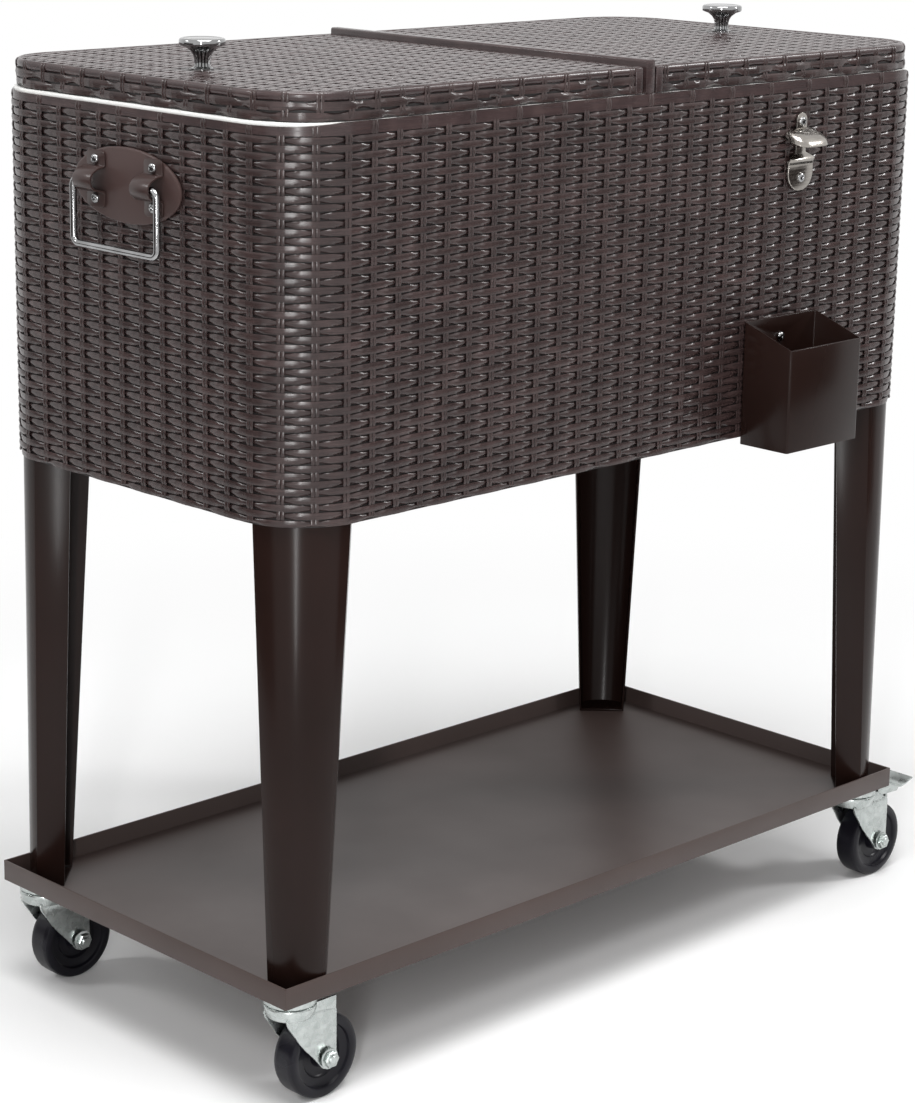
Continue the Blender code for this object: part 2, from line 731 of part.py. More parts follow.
def screw_places():
    """Places on the front of the tub of the two opener screws and the catcher's screw."""
    return (
        (OPENER_X, opener_top() - OPENER_TAB_WIDTH / 2),
        (OPENER_X, opener_top() - OPENER_HEIGHT + OPENER_SCREW_RISE),
        (CATCHER_X, CATCHER_BOTTOM + CATCHER_BACK_HEIGHT - CATCHER_SCREW_DROP),
    )


def front_screw(name, place, plate, steel):
    """Pan-head screw through a plate of the given thickness into the front of the tub."""
    x, z = place
    face = -TUB_Y - 2 * SEAT_GAP - plate
    tip = -TUB_Y + SCREW_BITE
    crown = face - SCREW_HEAD_HEIGHT
    profile = [
        (SCREW_SHANK_RADIUS, tip),
        (SCREW_SHANK_RADIUS, face),
        (SCREW_HEAD_RADIUS, face),
        (SCREW_HEAD_RADIUS, face - SCREW_HEAD_HEIGHT / 3),
        (SCREW_SHANK_RADIUS, crown),
    ]
    piece(name, turned(bmesh.new(), profile, (x, 0, z), "Y", PIN_STEPS), steel)


def screw_clearance(places, plate):
    holes = bmesh.new()
    radius = SCREW_SHANK_RADIUS + PIN_CLEARANCE
    for x, z in places:
        cylinder(holes, radius, (x, -TUB_Y, z), "Y", -plate - OVERRUN, OVERRUN)
    return holes


def hood_block(rows, back):
    """A block that ends at the plane back, from rows of (width, depth, height)."""
    rings = []
    for width, depth, z in rows:
        x0, x1 = OPENER_X - width / 2, OPENER_X + width / 2
        y0 = -TUB_Y - SEAT_GAP - depth
        corners = ((x0, y0), (x1, y0), (x1, back), (x0, back))
        rings.append(level(corners, z))
    return new_loft(rings)


def bottle_opener(steel):
    """A screwed back plate with a hood over a jaw: the bottle's cap goes between them."""
    top, sheet = opener_top(), OPENER_SHEET
    tab, half = OPENER_TAB_WIDTH / 2, OPENER_PLATE_WIDTH / 2
    back = -TUB_Y - SEAT_GAP
    hood_top = top - OPENER_HOOD_TOP_DROP
    hood_low = hood_top - OPENER_HOOD_HEIGHT
    lip = hood_low + OPENER_HOOD_LIP
    outer = (
        (OPENER_HOOD_WIDTH, OPENER_HOOD_DEPTH, hood_low),
        (OPENER_HOOD_WIDTH, OPENER_HOOD_DEPTH, lip),
        (OPENER_NECK_WIDTH, OPENER_NECK_DEPTH, hood_top),
    )
    wide, deep = OPENER_HOOD_WIDTH - 2 * sheet, OPENER_HOOD_DEPTH - sheet
    hollow = (
        (wide, deep, hood_low - OVERRUN),
        (wide, deep, lip - sheet / 2),
        (OPENER_NECK_WIDTH - 2 * sheet, OPENER_NECK_DEPTH - sheet, hood_top - sheet),
    )
    opener = piece("bottle_opener", hood_block(outer, back - sheet / 2), steel)
    cut(opener, hood_block(hollow, back + OVERRUN))
    shoulder = ((tab, hood_top), ((OPENER_HOOD_WIDTH - sheet) / 2, lip), (half, hood_low))
    outline = arc((OPENER_X, top - tab), tab, 0, 180, CORNER_STEPS)
    outline += [(OPENER_X - x, z) for x, z in shoulder]
    outline += arc((OPENER_X, top - OPENER_HEIGHT + half), half, 180, 360, 2 * CORNER_STEPS)
    outline += [(OPENER_X + x, z) for x, z in reversed(shoulder)]
    join(opener, prism_y(bmesh.new(), outline, back - sheet, back))
    jaw = top - OPENER_JAW_DROP
    root, tip = back - sheet + JOIN_DEPTH, back - sheet - OPENER_JAW_DEPTH
    middle, bend = (root + tip) / 2, jaw + OPENER_JAW_RISE / 4
    tongue = [(root, jaw), (middle, bend), (tip, jaw + OPENER_JAW_RISE)]
    tongue += [(y, z + sheet) for y, z in reversed(tongue)]
    width = half - JOIN_DEPTH
    join(opener, prism_x(bmesh.new(), tongue, OPENER_X - width, OPENER_X + width))
    cut(opener, screw_clearance(screw_places()[:2], sheet))
    front_screw("opener_top_screw", screw_places()[0], sheet, steel)
    front_screw("opener_bottom_screw", screw_places()[1], sheet, steel)


def cap_catcher(painted, steel):
    """A folded box, open on top, whose rim slopes down to the front."""
    back = -TUB_Y - SEAT_GAP
    centre_y = back - CATCHER_DEPTH / 2
    slope = (CATCHER_BACK_HEIGHT - CATCHER_FRONT_HEIGHT) / CATCHER_DEPTH

    def outline(inset):
        radius = CATCHER_CORNER - inset
        half_x, half_y = CATCHER_WIDTH / 2 - inset, CATCHER_DEPTH / 2 - inset
        flat = rounded_rectangle(half_x, half_y, radius, CATCHER_CORNER_STEPS)
        return [(CATCHER_X + x, centre_y + y) for x, y in flat]

    def rim(points):
        high = CATCHER_BOTTOM + CATCHER_BACK_HEIGHT
        return [Vector((x, y, high - (back - y) * slope)) for x, y in points]

    outer, inner = outline(0), outline(CATCHER_SHEET)
    floor_top = CATCHER_BOTTOM + CATCHER_SHEET
    rings = [level(outer, CATCHER_BOTTOM), rim(outer), rim(inner), level(inner, floor_top)]
    catcher = piece("cap_catcher", new_loft(rings), painted)
    cut(catcher, screw_clearance(screw_places()[2:], CATCHER_SHEET))
    front_screw("catcher_screw", screw_places()[2], CATCHER_SHEET, steel)


# Legs

def leg_section(corner_x, corner_y, radius, flat, edge):
    """Outer line of a leg, from the turned-in edge at the front round the corner to the other."""
    turn = edge * DIAGONAL_SHARE
    start = corner_x - radius - flat
    points = [(start - turn, corner_y - turn), (start, corner_y)]
    points += arc((corner_x - radius, corner_y - radius), radius, 90, 0, CORNER_STEPS)
    points += [(corner_x - turn, corner_y - radius - turn)]
    return points


def offset_line(points, distance):
    """The line moved to its right-hand side, with mitred bends."""
    moved = []
    for i, (x, y) in enumerate(points):
        normals = []
        for a, b in ((i - 1, i), (i, i + 1)):
            if a >= 0 and b < len(points):
                step = Vector((points[b][0] - points[a][0], points[b][1] - points[a][1])).normalized()
                normals.append(Vector((step.y, -step.x)))
        middle = sum(normals, Vector((0, 0))).normalized()
        shift = distance / middle.dot(normals[0])
        moved.append((x + middle.x * shift, y + middle.y * shift))
    return moved


def leg(name, side, end, painted):
    """A tapered sheet channel with a plate at the foot and one under the tub."""
    foot_x, foot_y = TRAY_X - LEG_FOOT_SETBACK_X, TRAY_Y - LEG_FOOT_SETBACK_Y
    top_x, top_y = TUB_X - LEG_TOP_SETBACK_X, TUB_Y - LEG_TOP_SETBACK_Y
    foot = leg_section(foot_x, foot_y, LEG_FOOT_RADIUS, LEG_FOOT_FLAT, LEG_FOOT_EDGE)
    top = leg_section(top_x, top_y, LEG_TOP_RADIUS, LEG_TOP_FLAT, LEG_TOP_EDGE)

    def placed(points):
        return [(side * x, end * y) for x, y in points]

    rings = []
    for line, z in ((foot, LEG_BOTTOM), (top, LEG_TOP)):
        sheet = line + offset_line(line, LEG_SHEET)[::-1]
        rings.append(level(placed(sheet), z))
    channel = piece(name + "_leg", new_loft(rings), painted)
    for line, low in ((foot, LEG_BOTTOM), (top, LEG_TOP - LEG_PLATE)):
        outline = placed(offset_line(line, LEG_SHEET / 2))
        join(channel, prism_z(bmesh.new(), outline, low, low + LEG_PLATE))


# Shelf tray

def shelf_tray(painted):
    corners = ((-1, -1), (1, -1), (1, 1), (-1, 1))
    outer = [(sx * TRAY_X, sy * TRAY_Y) for sx, sy in corners]
    inner = [(sx * (TRAY_X - TRAY_SHEET), sy * (TRAY_Y - TRAY_SHEET)) for sx, sy in corners]
    rim_top = CASTER_HEIGHT + TRAY_RIM
    rings = [
        level(outer, CASTER_HEIGHT),
        level(outer, rim_top),
        level(inner, rim_top),
        level(inner, DECK_TOP),
    ]
    piece("shelf_tray", new_loft(rings), painted)


# Casters

def caster_mount(name, x, y, zinc):
    """Raceway cup under the tray, with the kingpin and its head below the fork's crown."""
    head_top = CROWN_BOTTOM - SEAT_GAP
    profile = [
        (KINGPIN_HEAD_RADIUS, head_top - KINGPIN_HEAD),
        (KINGPIN_HEAD_RADIUS, head_top),
        (KINGPIN_RADIUS, head_top),
        (KINGPIN_RADIUS, RACEWAY_BOTTOM),
        (RACEWAY_RADIUS - RACEWAY_CHAMFER, RACEWAY_BOTTOM),
        (RACEWAY_RADIUS, RACEWAY_BOTTOM + RACEWAY_CHAMFER),
        (RACEWAY_RADIUS, MOUNT_TOP),
    ]
    mount = turned(bmesh.new(), profile, (x, y, 0), "Z", WHEEL_STEPS)
    piece(name + "_caster_mount", mount, zinc, (x, y, 0))


def cheek_outline(x, rear_drop):
    """One side of the fork as (x, z) points: concave front, boss round the axle, straight rear."""
    axle_x = x + AXLE_TRAIL
    low = CROWN_BOTTOM - CHEEK_LIP
    start = Vector((x - KINGPIN_RADIUS, low))
    bend = Vector((x + CHEEK_BOSS, low - CHEEK_LIP))
    end = Vector((axle_x - CHEEK_BOSS, WHEEL_RADIUS - CHEEK_BOSS / 4))
    outline = [(x - CHEEK_FRONT, CHEEK_TOP), (x - CHEEK_FRONT, low)]
    for i in range(CHEEK_CURVE_STEPS):
        t = i / CHEEK_CURVE_STEPS
        point = start * (1 - t) ** 2 + bend * (2 * t * (1 - t)) + end * t**2
        outline.append((point.x, point.y))
    outline += arc((axle_x, WHEEL_RADIUS), CHEEK_BOSS, 195, 345, CORNER_STEPS)
    rear = axle_x + CHEEK_REAR
    outline += [(rear, CHEEK_TOP - rear_drop), (x + CROWN_RADIUS, CHEEK_TOP)]
    return outline


def caster_fork(name, x, y, braked, zinc):
    bore = KINGPIN_RADIUS + PIN_CLEARANCE
    ring = [(bore, CROWN_BOTTOM), (CROWN_RADIUS, CROWN_BOTTOM), (CROWN_RADIUS, CROWN_TOP), (bore, CROWN_TOP)]
    crown = turned(bmesh.new(), ring, (x, y, 0), "Z", WHEEL_STEPS, True)
    fork = piece(name + "_caster_fork", crown, zinc, (x, y, 0))
    outline = cheek_outline(x, BRAKED_CHEEK_DROP if braked else 0)
    cheeks = bmesh.new()
    for way in ENDS.values():
        prism_y(cheeks, outline, y + way * CHEEK_INNER, y + way * CHEEK_OUTER)
    join(fork, cheeks)
    holes = bmesh.new()
    reach = CHEEK_OUTER + OVERRUN
    pins = [(AXLE_TRAIL, WHEEL_RADIUS, AXLE_RADIUS)]
    if braked:
        pins.append((PEDAL_PIVOT_X, PEDAL_PIVOT_Z, PEDAL_PIN_RADIUS))
    for offset, z, radius in pins:
        cylinder(holes, radius + PIN_CLEARANCE, (x + offset, y, z), "Y", -reach, reach)
    cut(fork, holes)


def caster_wheel(name, x, y, plastic):
    """Tread, dished web and hub, turned about the axle."""
    hub = CHEEK_INNER - SEAT_GAP
    half = WHEEL_WIDTH / 2
    web = half - WHEEL_WEB_RECESS
    rim = WHEEL_RADIUS - WHEEL_RIM
    side = [
        (AXLE_RADIUS + PIN_CLEARANCE, hub),
        (HUB_RADIUS - WHEEL_EDGE_ROUND / 3, hub),
        (HUB_RADIUS, half),
        (HUB_RADIUS + WHEEL_EDGE_ROUND / 3, web),
        (rim - WHEEL_EDGE_ROUND / 3, web),
        (rim, half - WHEEL_EDGE_ROUND / 3),
        (WHEEL_RADIUS - WHEEL_EDGE_ROUND, half),
        (WHEEL_RADIUS, half - WHEEL_EDGE_ROUND),
    ]
    profile = side + [(radius, -distance) for radius, distance in reversed(side)]
    centre = (x + AXLE_TRAIL, y, WHEEL_RADIUS)
    wheel = turned(bmesh.new(), profile, centre, "Y", WHEEL_STEPS, True)
    piece(name + "_caster_wheel", wheel, plastic, centre)


def caster_axle(name, x, y, zinc):
    """Bolt with a hexagon head at the back and a nut at the front."""
    face = CHEEK_OUTER + SEAT_GAP
    centre = (x + AXLE_TRAIL, y, WHEEL_RADIUS)
    tail = face + NUT_THICKNESS + BOLT_TAIL
    shaft = cylinder(bmesh.new(), AXLE_RADIUS, centre, "Y", -tail, face + JOIN_DEPTH)
    bolt = piece(name + "_caster_axle", shaft, zinc, centre)
    nuts = bmesh.new()
    for way in ENDS.values():
        cylinder(nuts, NUT_RADIUS, centre, "Y", way * face, way * (face + NUT_THICKNESS), NUT_SIDES)
    join(bolt, nuts)


def pedal_underside(reach):
    """Height of the sloping plate's underside, this far from the swivel."""
    return PEDAL_BOTTOM - PEDAL_BEND_DROP * (reach - PEDAL_START) / (PEDAL_BEND - PEDAL_START)


def pedal_flange(x):
    """Side flange of a pedal as (x, z) points, with an ear that hangs round the pin."""
    ear = PEDAL_PIN_EAR
    first, last = PEDAL_START + ear / 2, PEDAL_BEND - ear
    before, after = PEDAL_PIVOT_X - ear, PEDAL_PIVOT_X + ear
    points = [
        (first, pedal_underside(first) + JOIN_DEPTH),
        (first, pedal_underside(first) - PEDAL_SIDE_DEPTH),
        (before, pedal_underside(before) - PEDAL_SIDE_DEPTH),
        *arc((PEDAL_PIVOT_X, PEDAL_PIVOT_Z), ear, 180, 360, PIN_STEPS // 2),
        (after, pedal_underside(after) - PEDAL_SIDE_DEPTH),
        (last - ear, pedal_underside(last) - PEDAL_SIDE_END_DEPTH),
        (last, pedal_underside(last) + JOIN_DEPTH),
    ]
    return [(x + reach, z) for reach, z in points]


def brake_pedal(name, x, y, zinc):
    """A sloping pedal with an upturned tip, on a pin through the cheeks, and a shoe over the tread."""
    pivot = (x + PEDAL_PIVOT_X, y, PEDAL_PIVOT_Z)
    rows = [(PEDAL_START, PEDAL_WIDTH, PEDAL_BOTTOM), (PEDAL_BEND, PEDAL_WIDTH, pedal_underside(PEDAL_BEND))]
    for length_share, flare_share in PEDAL_TIP_SHARES:
        reach = PEDAL_BEND + (PEDAL_REACH - PEDAL_BEND) * length_share
        width = PEDAL_WIDTH + (PEDAL_TIP_WIDTH - PEDAL_WIDTH) * flare_share
        rows.append((reach, width, pedal_underside(PEDAL_BEND) + PEDAL_TIP_RISE * flare_share))
    rings = []
    for reach, width, low in rows:
        px, high = x + reach, low + PEDAL_SHEET
        y0, y1 = y - width / 2, y + width / 2
        corners = ((y0, low), (y1, low), (y1, high), (y0, high))
        rings.append([Vector((px, py, pz)) for py, pz in corners])
    pedal = piece(name + "_brake_pedal", new_loft(rings), zinc, pivot)
    outer = CHEEK_INNER - PEDAL_SIDE_GAP
    sides = bmesh.new()
    for way in ENDS.values():
        prism_y(sides, pedal_flange(x), y + way * outer, y + way * (outer - PEDAL_SIDE_SHEET))
    join(pedal, sides)
    tread = WHEEL_RADIUS + math.sqrt(WHEEL_RADIUS**2 - (PEDAL_SHOE_X - AXLE_TRAIL) ** 2)
    half = outer - JOIN_DEPTH
    low_corner = (x + PEDAL_SHOE_X, y - half, tread + PEDAL_SHOE_GAP)
    shoe_top = pedal_underside(PEDAL_SHOE_X) + JOIN_DEPTH / 2
    high_corner = (x + PEDAL_SHOE_X + PEDAL_SHOE, y + half, shoe_top)
    join(pedal, box(bmesh.new(), low_corner, high_corner))
    join(pedal, cylinder(bmesh.new(), PEDAL_PIN_RADIUS, pivot, "Y", -CHEEK_OUTER, CHEEK_OUTER))


def caster(name, side, end, finishes):
    x, y = side * SWIVEL_X, end * SWIVEL_Y
    braked = side > 0
    caster_mount(name, x, y, finishes["zinc"])
    caster_fork(name, x, y, braked, finishes["zinc"])
    caster_wheel(name, x, y, finishes["plastic"])
    caster_axle(name, x, y, finishes["zinc"])
    if braked:
        brake_pedal(name, x, y, finishes["zinc"])


# Drain

def drain(plastic):
    centre = (DRAIN_X, TUB_Y, DRAIN_Z)
    inner = -(TUB_WALL + SIDE_FOAM + LINER_WALL + 3 * SEAT_GAP)
    spout = [
        (SPOUT_BORE, inner - SPOUT_FLANGE),
        (SPOUT_FLANGE_RADIUS, inner - SPOUT_FLANGE),
        (SPOUT_FLANGE_RADIUS, inner),
        (SPOUT_RADIUS, inner),
        (SPOUT_RADIUS, SPOUT_REACH),
        (SPOUT_BORE, SPOUT_REACH),
    ]
    piece("drain_spout", turned(bmesh.new(), spout, centre, "Y", KNOB_STEPS // 2, True), plastic)
    thread = SPOUT_RADIUS + PIN_CLEARANCE
    nut = [
        (thread, SEAT_GAP),
        (DRAIN_NUT_RADIUS, SEAT_GAP),
        (DRAIN_NUT_RADIUS, DRAIN_NUT),
        (thread, DRAIN_NUT),
    ]
    piece("drain_nut", turned(bmesh.new(), nut, centre, "Y", KNOB_STEPS // 2, True), plastic)
    end = SPOUT_REACH + SEAT_GAP
    cap = [
        (DRAIN_CAP_RADIUS, end + DRAIN_CAP_WALL),
        (DRAIN_CAP_RADIUS, DRAIN_CAP_START),
        (thread, DRAIN_CAP_START),
        (thread, end),
    ]
    piece("drain_cap", turned(bmesh.new(), cap, centre, "Y", KNOB_STEPS // 2), plastic, centre)


def build():
    clear_scene()
    cart = bpy.data.objects.new("cart", None)
    cart.location = CENTRE_OFFSET
    bpy.context.scene.collection.objects.link(cart)
    finishes = {
        "woven": finish("woven resin", (0.069, 0.050, 0.045), 0.45),
        "painted": finish("brown enamel on steel", (0.048, 0.035, 0.031), 0.35),
        "leg": finish("dark brown enamel on steel", (0.024, 0.014, 0.012), 0.30),
        "white": finish("white polypropylene", (0.80, 0.80, 0.79), 0.35),
        "foam": finish("polyurethane foam", (0.72, 0.66, 0.48), 0.90),
        "steel": finish("polished steel", (0.62, 0.61, 0.59), 0.15, 1.0),
        "zinc": finish("zinc-plated steel", (0.60, 0.63, 0.62), 0.30, 1.0),
        "plastic": finish("black polypropylene", (0.020, 0.020, 0.023), 0.40),
    }
    tub_shell(finishes["woven"])
    tub_foam(finishes["foam"])
    tub_liner(finishes["white"])
    centre_bridge(finishes["woven"])
    for name, side in SIDES.items():
        hinge_rod(name, side, finishes["steel"])
        lid(name, side, finishes)
        handle(name, side, finishes)
    bottle_opener(finishes["steel"])
    cap_catcher(finishes["painted"], finishes["steel"])
    shelf_tray(finishes["painted"])
    for end_name, end in ENDS.items():
        for side_name, side in SIDES.items():
            corner = f"{end_name}_{side_name}"
            leg(corner, side, end, finishes["leg"])
            caster(corner, side, end, finishes)
    drain(finishes["plastic"])


build()
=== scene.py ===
import json
import math

import bmesh
import bpy
from mathutils import Matrix, Vector

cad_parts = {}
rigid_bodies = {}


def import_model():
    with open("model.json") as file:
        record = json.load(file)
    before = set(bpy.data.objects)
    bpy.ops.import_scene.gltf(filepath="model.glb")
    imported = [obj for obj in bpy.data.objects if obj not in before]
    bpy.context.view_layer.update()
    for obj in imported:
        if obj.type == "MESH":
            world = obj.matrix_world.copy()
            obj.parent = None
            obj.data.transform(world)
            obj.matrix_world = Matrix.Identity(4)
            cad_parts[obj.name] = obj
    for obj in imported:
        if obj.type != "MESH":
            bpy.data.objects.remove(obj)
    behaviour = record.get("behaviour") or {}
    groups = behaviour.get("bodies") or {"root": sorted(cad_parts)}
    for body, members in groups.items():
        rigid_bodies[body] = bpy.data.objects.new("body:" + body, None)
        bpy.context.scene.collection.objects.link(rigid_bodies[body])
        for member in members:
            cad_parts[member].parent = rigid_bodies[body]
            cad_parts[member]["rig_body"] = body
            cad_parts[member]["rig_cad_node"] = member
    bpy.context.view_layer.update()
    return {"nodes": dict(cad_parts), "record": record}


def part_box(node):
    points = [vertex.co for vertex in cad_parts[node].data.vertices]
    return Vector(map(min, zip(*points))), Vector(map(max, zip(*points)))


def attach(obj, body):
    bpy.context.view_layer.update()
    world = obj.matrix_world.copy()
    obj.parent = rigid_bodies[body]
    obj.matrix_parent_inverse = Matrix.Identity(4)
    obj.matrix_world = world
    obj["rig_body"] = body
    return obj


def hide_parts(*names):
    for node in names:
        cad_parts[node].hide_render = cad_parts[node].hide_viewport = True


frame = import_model()
nodes = frame["nodes"]
nodeSlots = {part["node"]: part["material_slot"] for part in frame["record"]["subparts"]}
mm = 0.001
mostly = 0.9  # an edge or a face counts as lying along an axis from this share on
nearly = 0.1 * mm  # slack where edges and corners are picked by their place

tubLow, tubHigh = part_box("tub_shell")
tubMiddle = (tubLow + tubHigh) / 2
tubHalf = (tubHigh - tubLow) / 2


# Selecting, editing and finishing

def deselectAll():
    if bpy.context.mode != "OBJECT":
        bpy.ops.object.mode_set(mode="OBJECT")
    bpy.ops.object.select_all(action="DESELECT")


def choose(piece):
    deselectAll()
    piece.select_set(True)
    bpy.context.view_layer.objects.active = piece


def startEdit(piece, kind="FACE", action="DESELECT"):
    choose(piece)
    bpy.ops.object.mode_set(mode="EDIT")
    bpy.ops.mesh.select_mode(type=kind)
    bpy.ops.mesh.select_all(action=action)


def endEdit():
    bpy.ops.object.mode_set(mode="OBJECT")


def pick(piece, test, kind="FACE"):
    # In edit mode: leaves selected just the vertices, edges or faces that pass the test
    bpy.ops.mesh.select_mode(type=kind)
    bpy.ops.mesh.select_all(action="DESELECT")
    mesh = bmesh.from_edit_mesh(piece.data)
    for item in {"VERT": mesh.verts, "EDGE": mesh.edges, "FACE": mesh.faces}[kind]:
        if test(item):
            item.select_set(True)
    mesh.select_flush_mode()
    bmesh.update_edit_mesh(piece.data)


def edgeMiddle(edge):
    return (edge.verts[0].co + edge.verts[1].co) / 2


def edgeWay(edge):
    return (edge.verts[1].co - edge.verts[0].co).normalized()


def setDown(piece, place=None, turn=None, scale=None):
    # Writes a piece's place, turn and scale into its mesh
    for key, value in (("location", place), ("rotation_euler", turn), ("scale", scale)):
        if value is not None:
            setattr(piece, key, value)
    choose(piece)
    bpy.ops.object.transform_apply(location=True, rotation=True, scale=True)
    return piece


def addModifier(piece, kind, **settings):
    # Adds a modifier and applies it
    modifier = piece.modifiers.new(kind.title(), kind)
    for key, value in settings.items():
        setattr(modifier, key, value)
    choose(piece)
    bpy.ops.object.modifier_apply(modifier=modifier.name)


def easeEdges(piece, width, angle, segments=2):
    # Rounds the edges that turn by more than the angle
    addModifier(piece, "BEVEL", width=width, segments=segments, limit_method="ANGLE",
                angle_limit=math.radians(angle))


def smooth(piece, angle=35):
    choose(piece)
    bpy.ops.object.shade_smooth_by_angle(angle=math.radians(angle))


def mergeSeams(piece, distance=0.02 * mm):
    startEdit(piece, "VERT", "SELECT")
    bpy.ops.mesh.remove_doubles(threshold=distance)
    endEdit()


def faceOut(piece, angle=None):
    # Turns all faces outwards, and smooths what turns by less than the angle
    startEdit(piece, "FACE", "SELECT")
    bpy.ops.mesh.normals_make_consistent(inside=False)
    endEdit()
    if angle:
        smooth(piece, angle)


def copyOf(piece, name):
    twin = piece.copy()
    twin.data = piece.data.copy()
    twin.name = twin.data.name = name
    twin.animation_data_clear()
    bpy.context.scene.collection.objects.link(twin)
    return twin


def copyOfNode(node, name):
    # A loose copy of a CAD node, merged so that it can be edited
    twin = copyOf(nodes[node], name)
    twin.parent = None
    twin.matrix_world = Matrix.Identity(4)
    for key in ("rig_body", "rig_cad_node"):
        if key in twin:
            del twin[key]
    mergeSeams(twin, 0.005 * mm)
    startEdit(twin, "EDGE", "SELECT")
    bpy.ops.mesh.customdata_custom_splitnormals_clear()
    bpy.ops.mesh.dissolve_limited(angle_limit=math.radians(0.5))
    endEdit()
    return twin


def joinPieces(pieces, name):
    choose(pieces[0])
    for piece in pieces:
        piece.select_set(True)
    bpy.ops.object.join()
    pieces[0].name = pieces[0].data.name = name
    return pieces[0]


def dress(piece, body, slot, material, *replaced):
    piece.data.materials.clear()
    piece.data.materials.append(material)
    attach(piece, body)
    if replaced:
        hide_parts(*replaced)


def standIn(piece, node, material):
    # A piece takes the place of a CAD node, on its body
    dress(piece, nodes[node]["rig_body"], nodeSlots[node], material, node)


def camel(node):
    first, *others = node.split("_")
    return first + "".join(word.title() for word in others)


def middleOf(node):
    low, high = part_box(node)
    return (low + high) / 2


# Starts of pieces, and the steps that shape them

def named(name, scale=None):
    # The primitive just added gets its name, and its place goes into its mesh
    piece = bpy.context.object
    piece.name = piece.data.name = name
    return setDown(piece, scale=scale)


def ring(name, steps, radius, place, turn=(0, 0, 0), scale=None, fill="NOTHING"):
    # A ring of edges or a disc, in edit mode with all of it selected
    deselectAll()
    bpy.ops.mesh.primitive_circle_add(vertices=steps, radius=radius, fill_type=fill,
                                      location=place, rotation=turn)
    piece = named(name, scale)
    startEdit(piece, "EDGE" if fill == "NOTHING" else "FACE", "SELECT")
    return piece


def sheetPiece(name, place, turn, size):
    deselectAll()
    bpy.ops.mesh.primitive_plane_add(size=1, location=place, rotation=turn)
    return named(name, (*size, 1))


def block(name, low, high):
    deselectAll()
    middle = [(a + b) / 2 for a, b in zip(low, high)]
    bpy.ops.mesh.primitive_cube_add(size=1, location=middle, scale=[b - a for a, b in zip(low, high)])
    return named(name)


def extrude(way, grow=None, centre=(0, 0, 0), faces=False):
    # Draws the selected edges or faces out, and scales their new end about a point
    draw = bpy.ops.mesh.extrude_region_move if faces else bpy.ops.mesh.extrude_edges_move
    draw(TRANSFORM_OT_translate={"value": way})
    if grow:
        bpy.ops.transform.resize(value=grow, center_override=centre)


def bevel(width, segments, what="EDGES"):
    bpy.ops.mesh.bevel(offset=width, segments=segments, profile=0.5, affect=what)


def faceToward(piece, way):
    # Turns an open sheet's faces so that on the whole they look along the way given
    mesh = bmesh.from_edit_mesh(piece.data)
    total = sum((face.normal * face.calc_area() for face in mesh.faces), Vector())
    if total.dot(Vector(way)) < 0:
        bpy.ops.mesh.select_all(action="SELECT")
        bpy.ops.mesh.flip_normals()


axisTurns = {"Z": (0, 0, 0), "X": (0, math.pi / 2, 0), "-X": (0, -math.pi / 2, 0),
             "Y": (-math.pi / 2, 0, 0), "-Y": (math.pi / 2, 0, 0)}


def turned(name, rings, steps=48, centre=(0, 0, 0), axis="Z", angle=35):
    # A disc is drawn out ring by ring and laid along its axis. Rings are (radius, height) in mm
    piece = ring(name, steps, rings[0][0] * mm, (0, 0, rings[0][1] * mm), fill="NGON")
    for (r0, z0), (r1, z1) in zip(rings, rings[1:]):
        extrude((0, 0, (z1 - z0) * mm), (r1 / r0, r1 / r0, 1), (0, 0, z1 * mm), True)
    endEdit()
    setDown(piece, centre, axisTurns[axis])
    faceOut(piece, angle)
    return piece


# Materials

def linear(hexColour):
    channels = [int(hexColour[i:i + 2], 16) / 255 for i in (1, 3, 5)]
    return tuple(c / 12.92 if c <= 0.04045 else ((c + 0.055) / 1.055) ** 2.4 for c in channels) + (1,)


def grey(value):
    return (value, value, value, 1)


def addNode(tree, kind, settings=None, links=None, sockets=None, stops=None):
    # settings are properties, sockets are input values, links are input = (node, output), and
    # stops are a colour ramp's (position, colour)
    node = tree.nodes.new("ShaderNode" + kind)
    for key, value in (settings or {}).items():
        setattr(node, key, value)
    for key, value in (sockets or {}).items():
        node.inputs[key].default_value = value
    for key, (source, output) in (links or {}).items():
        tree.links.new(source.outputs[output], node.inputs[key])
    if stops:
        first, last = node.color_ramp.elements
        first.position, first.color = stops[0]
        last.position, last.color = stops[-1]
        for position, colour in stops[1:-1]:
            node.color_ramp.elements.new(position).color = colour
    return node


def newMaterial(name, **values):
    material = bpy.data.materials.new(name)
    material.use_nodes = True
    tree = material.node_tree
    shader = tree.nodes["Principled BSDF"]
    for key, value in values.items():
        shader.inputs[key.replace("_", " ")].default_value = value
    return material, tree, shader, addNode(tree, "TexCoord")


def finish(tree, shader, tone, gloss=None, bump=None):
    # tone and gloss are (node, output, stops), bump is (node, output, strength, depth)
    for socket, pattern in (("Base Color", tone), ("Roughness", gloss)):
        if pattern:
            ramp = addNode(tree, "ValToRGB", links={"Fac": pattern[:2]}, stops=pattern[2])
            tree.links.new(ramp.outputs["Color"], shader.inputs[socket])
    if bump:
        relief = addNode(tree, "Bump", links={"Height": bump[:2]},
                         sockets={"Strength": bump[2], "Distance": bump[3]})
        tree.links.new(relief.outputs["Normal"], shader.inputs["Normal"])


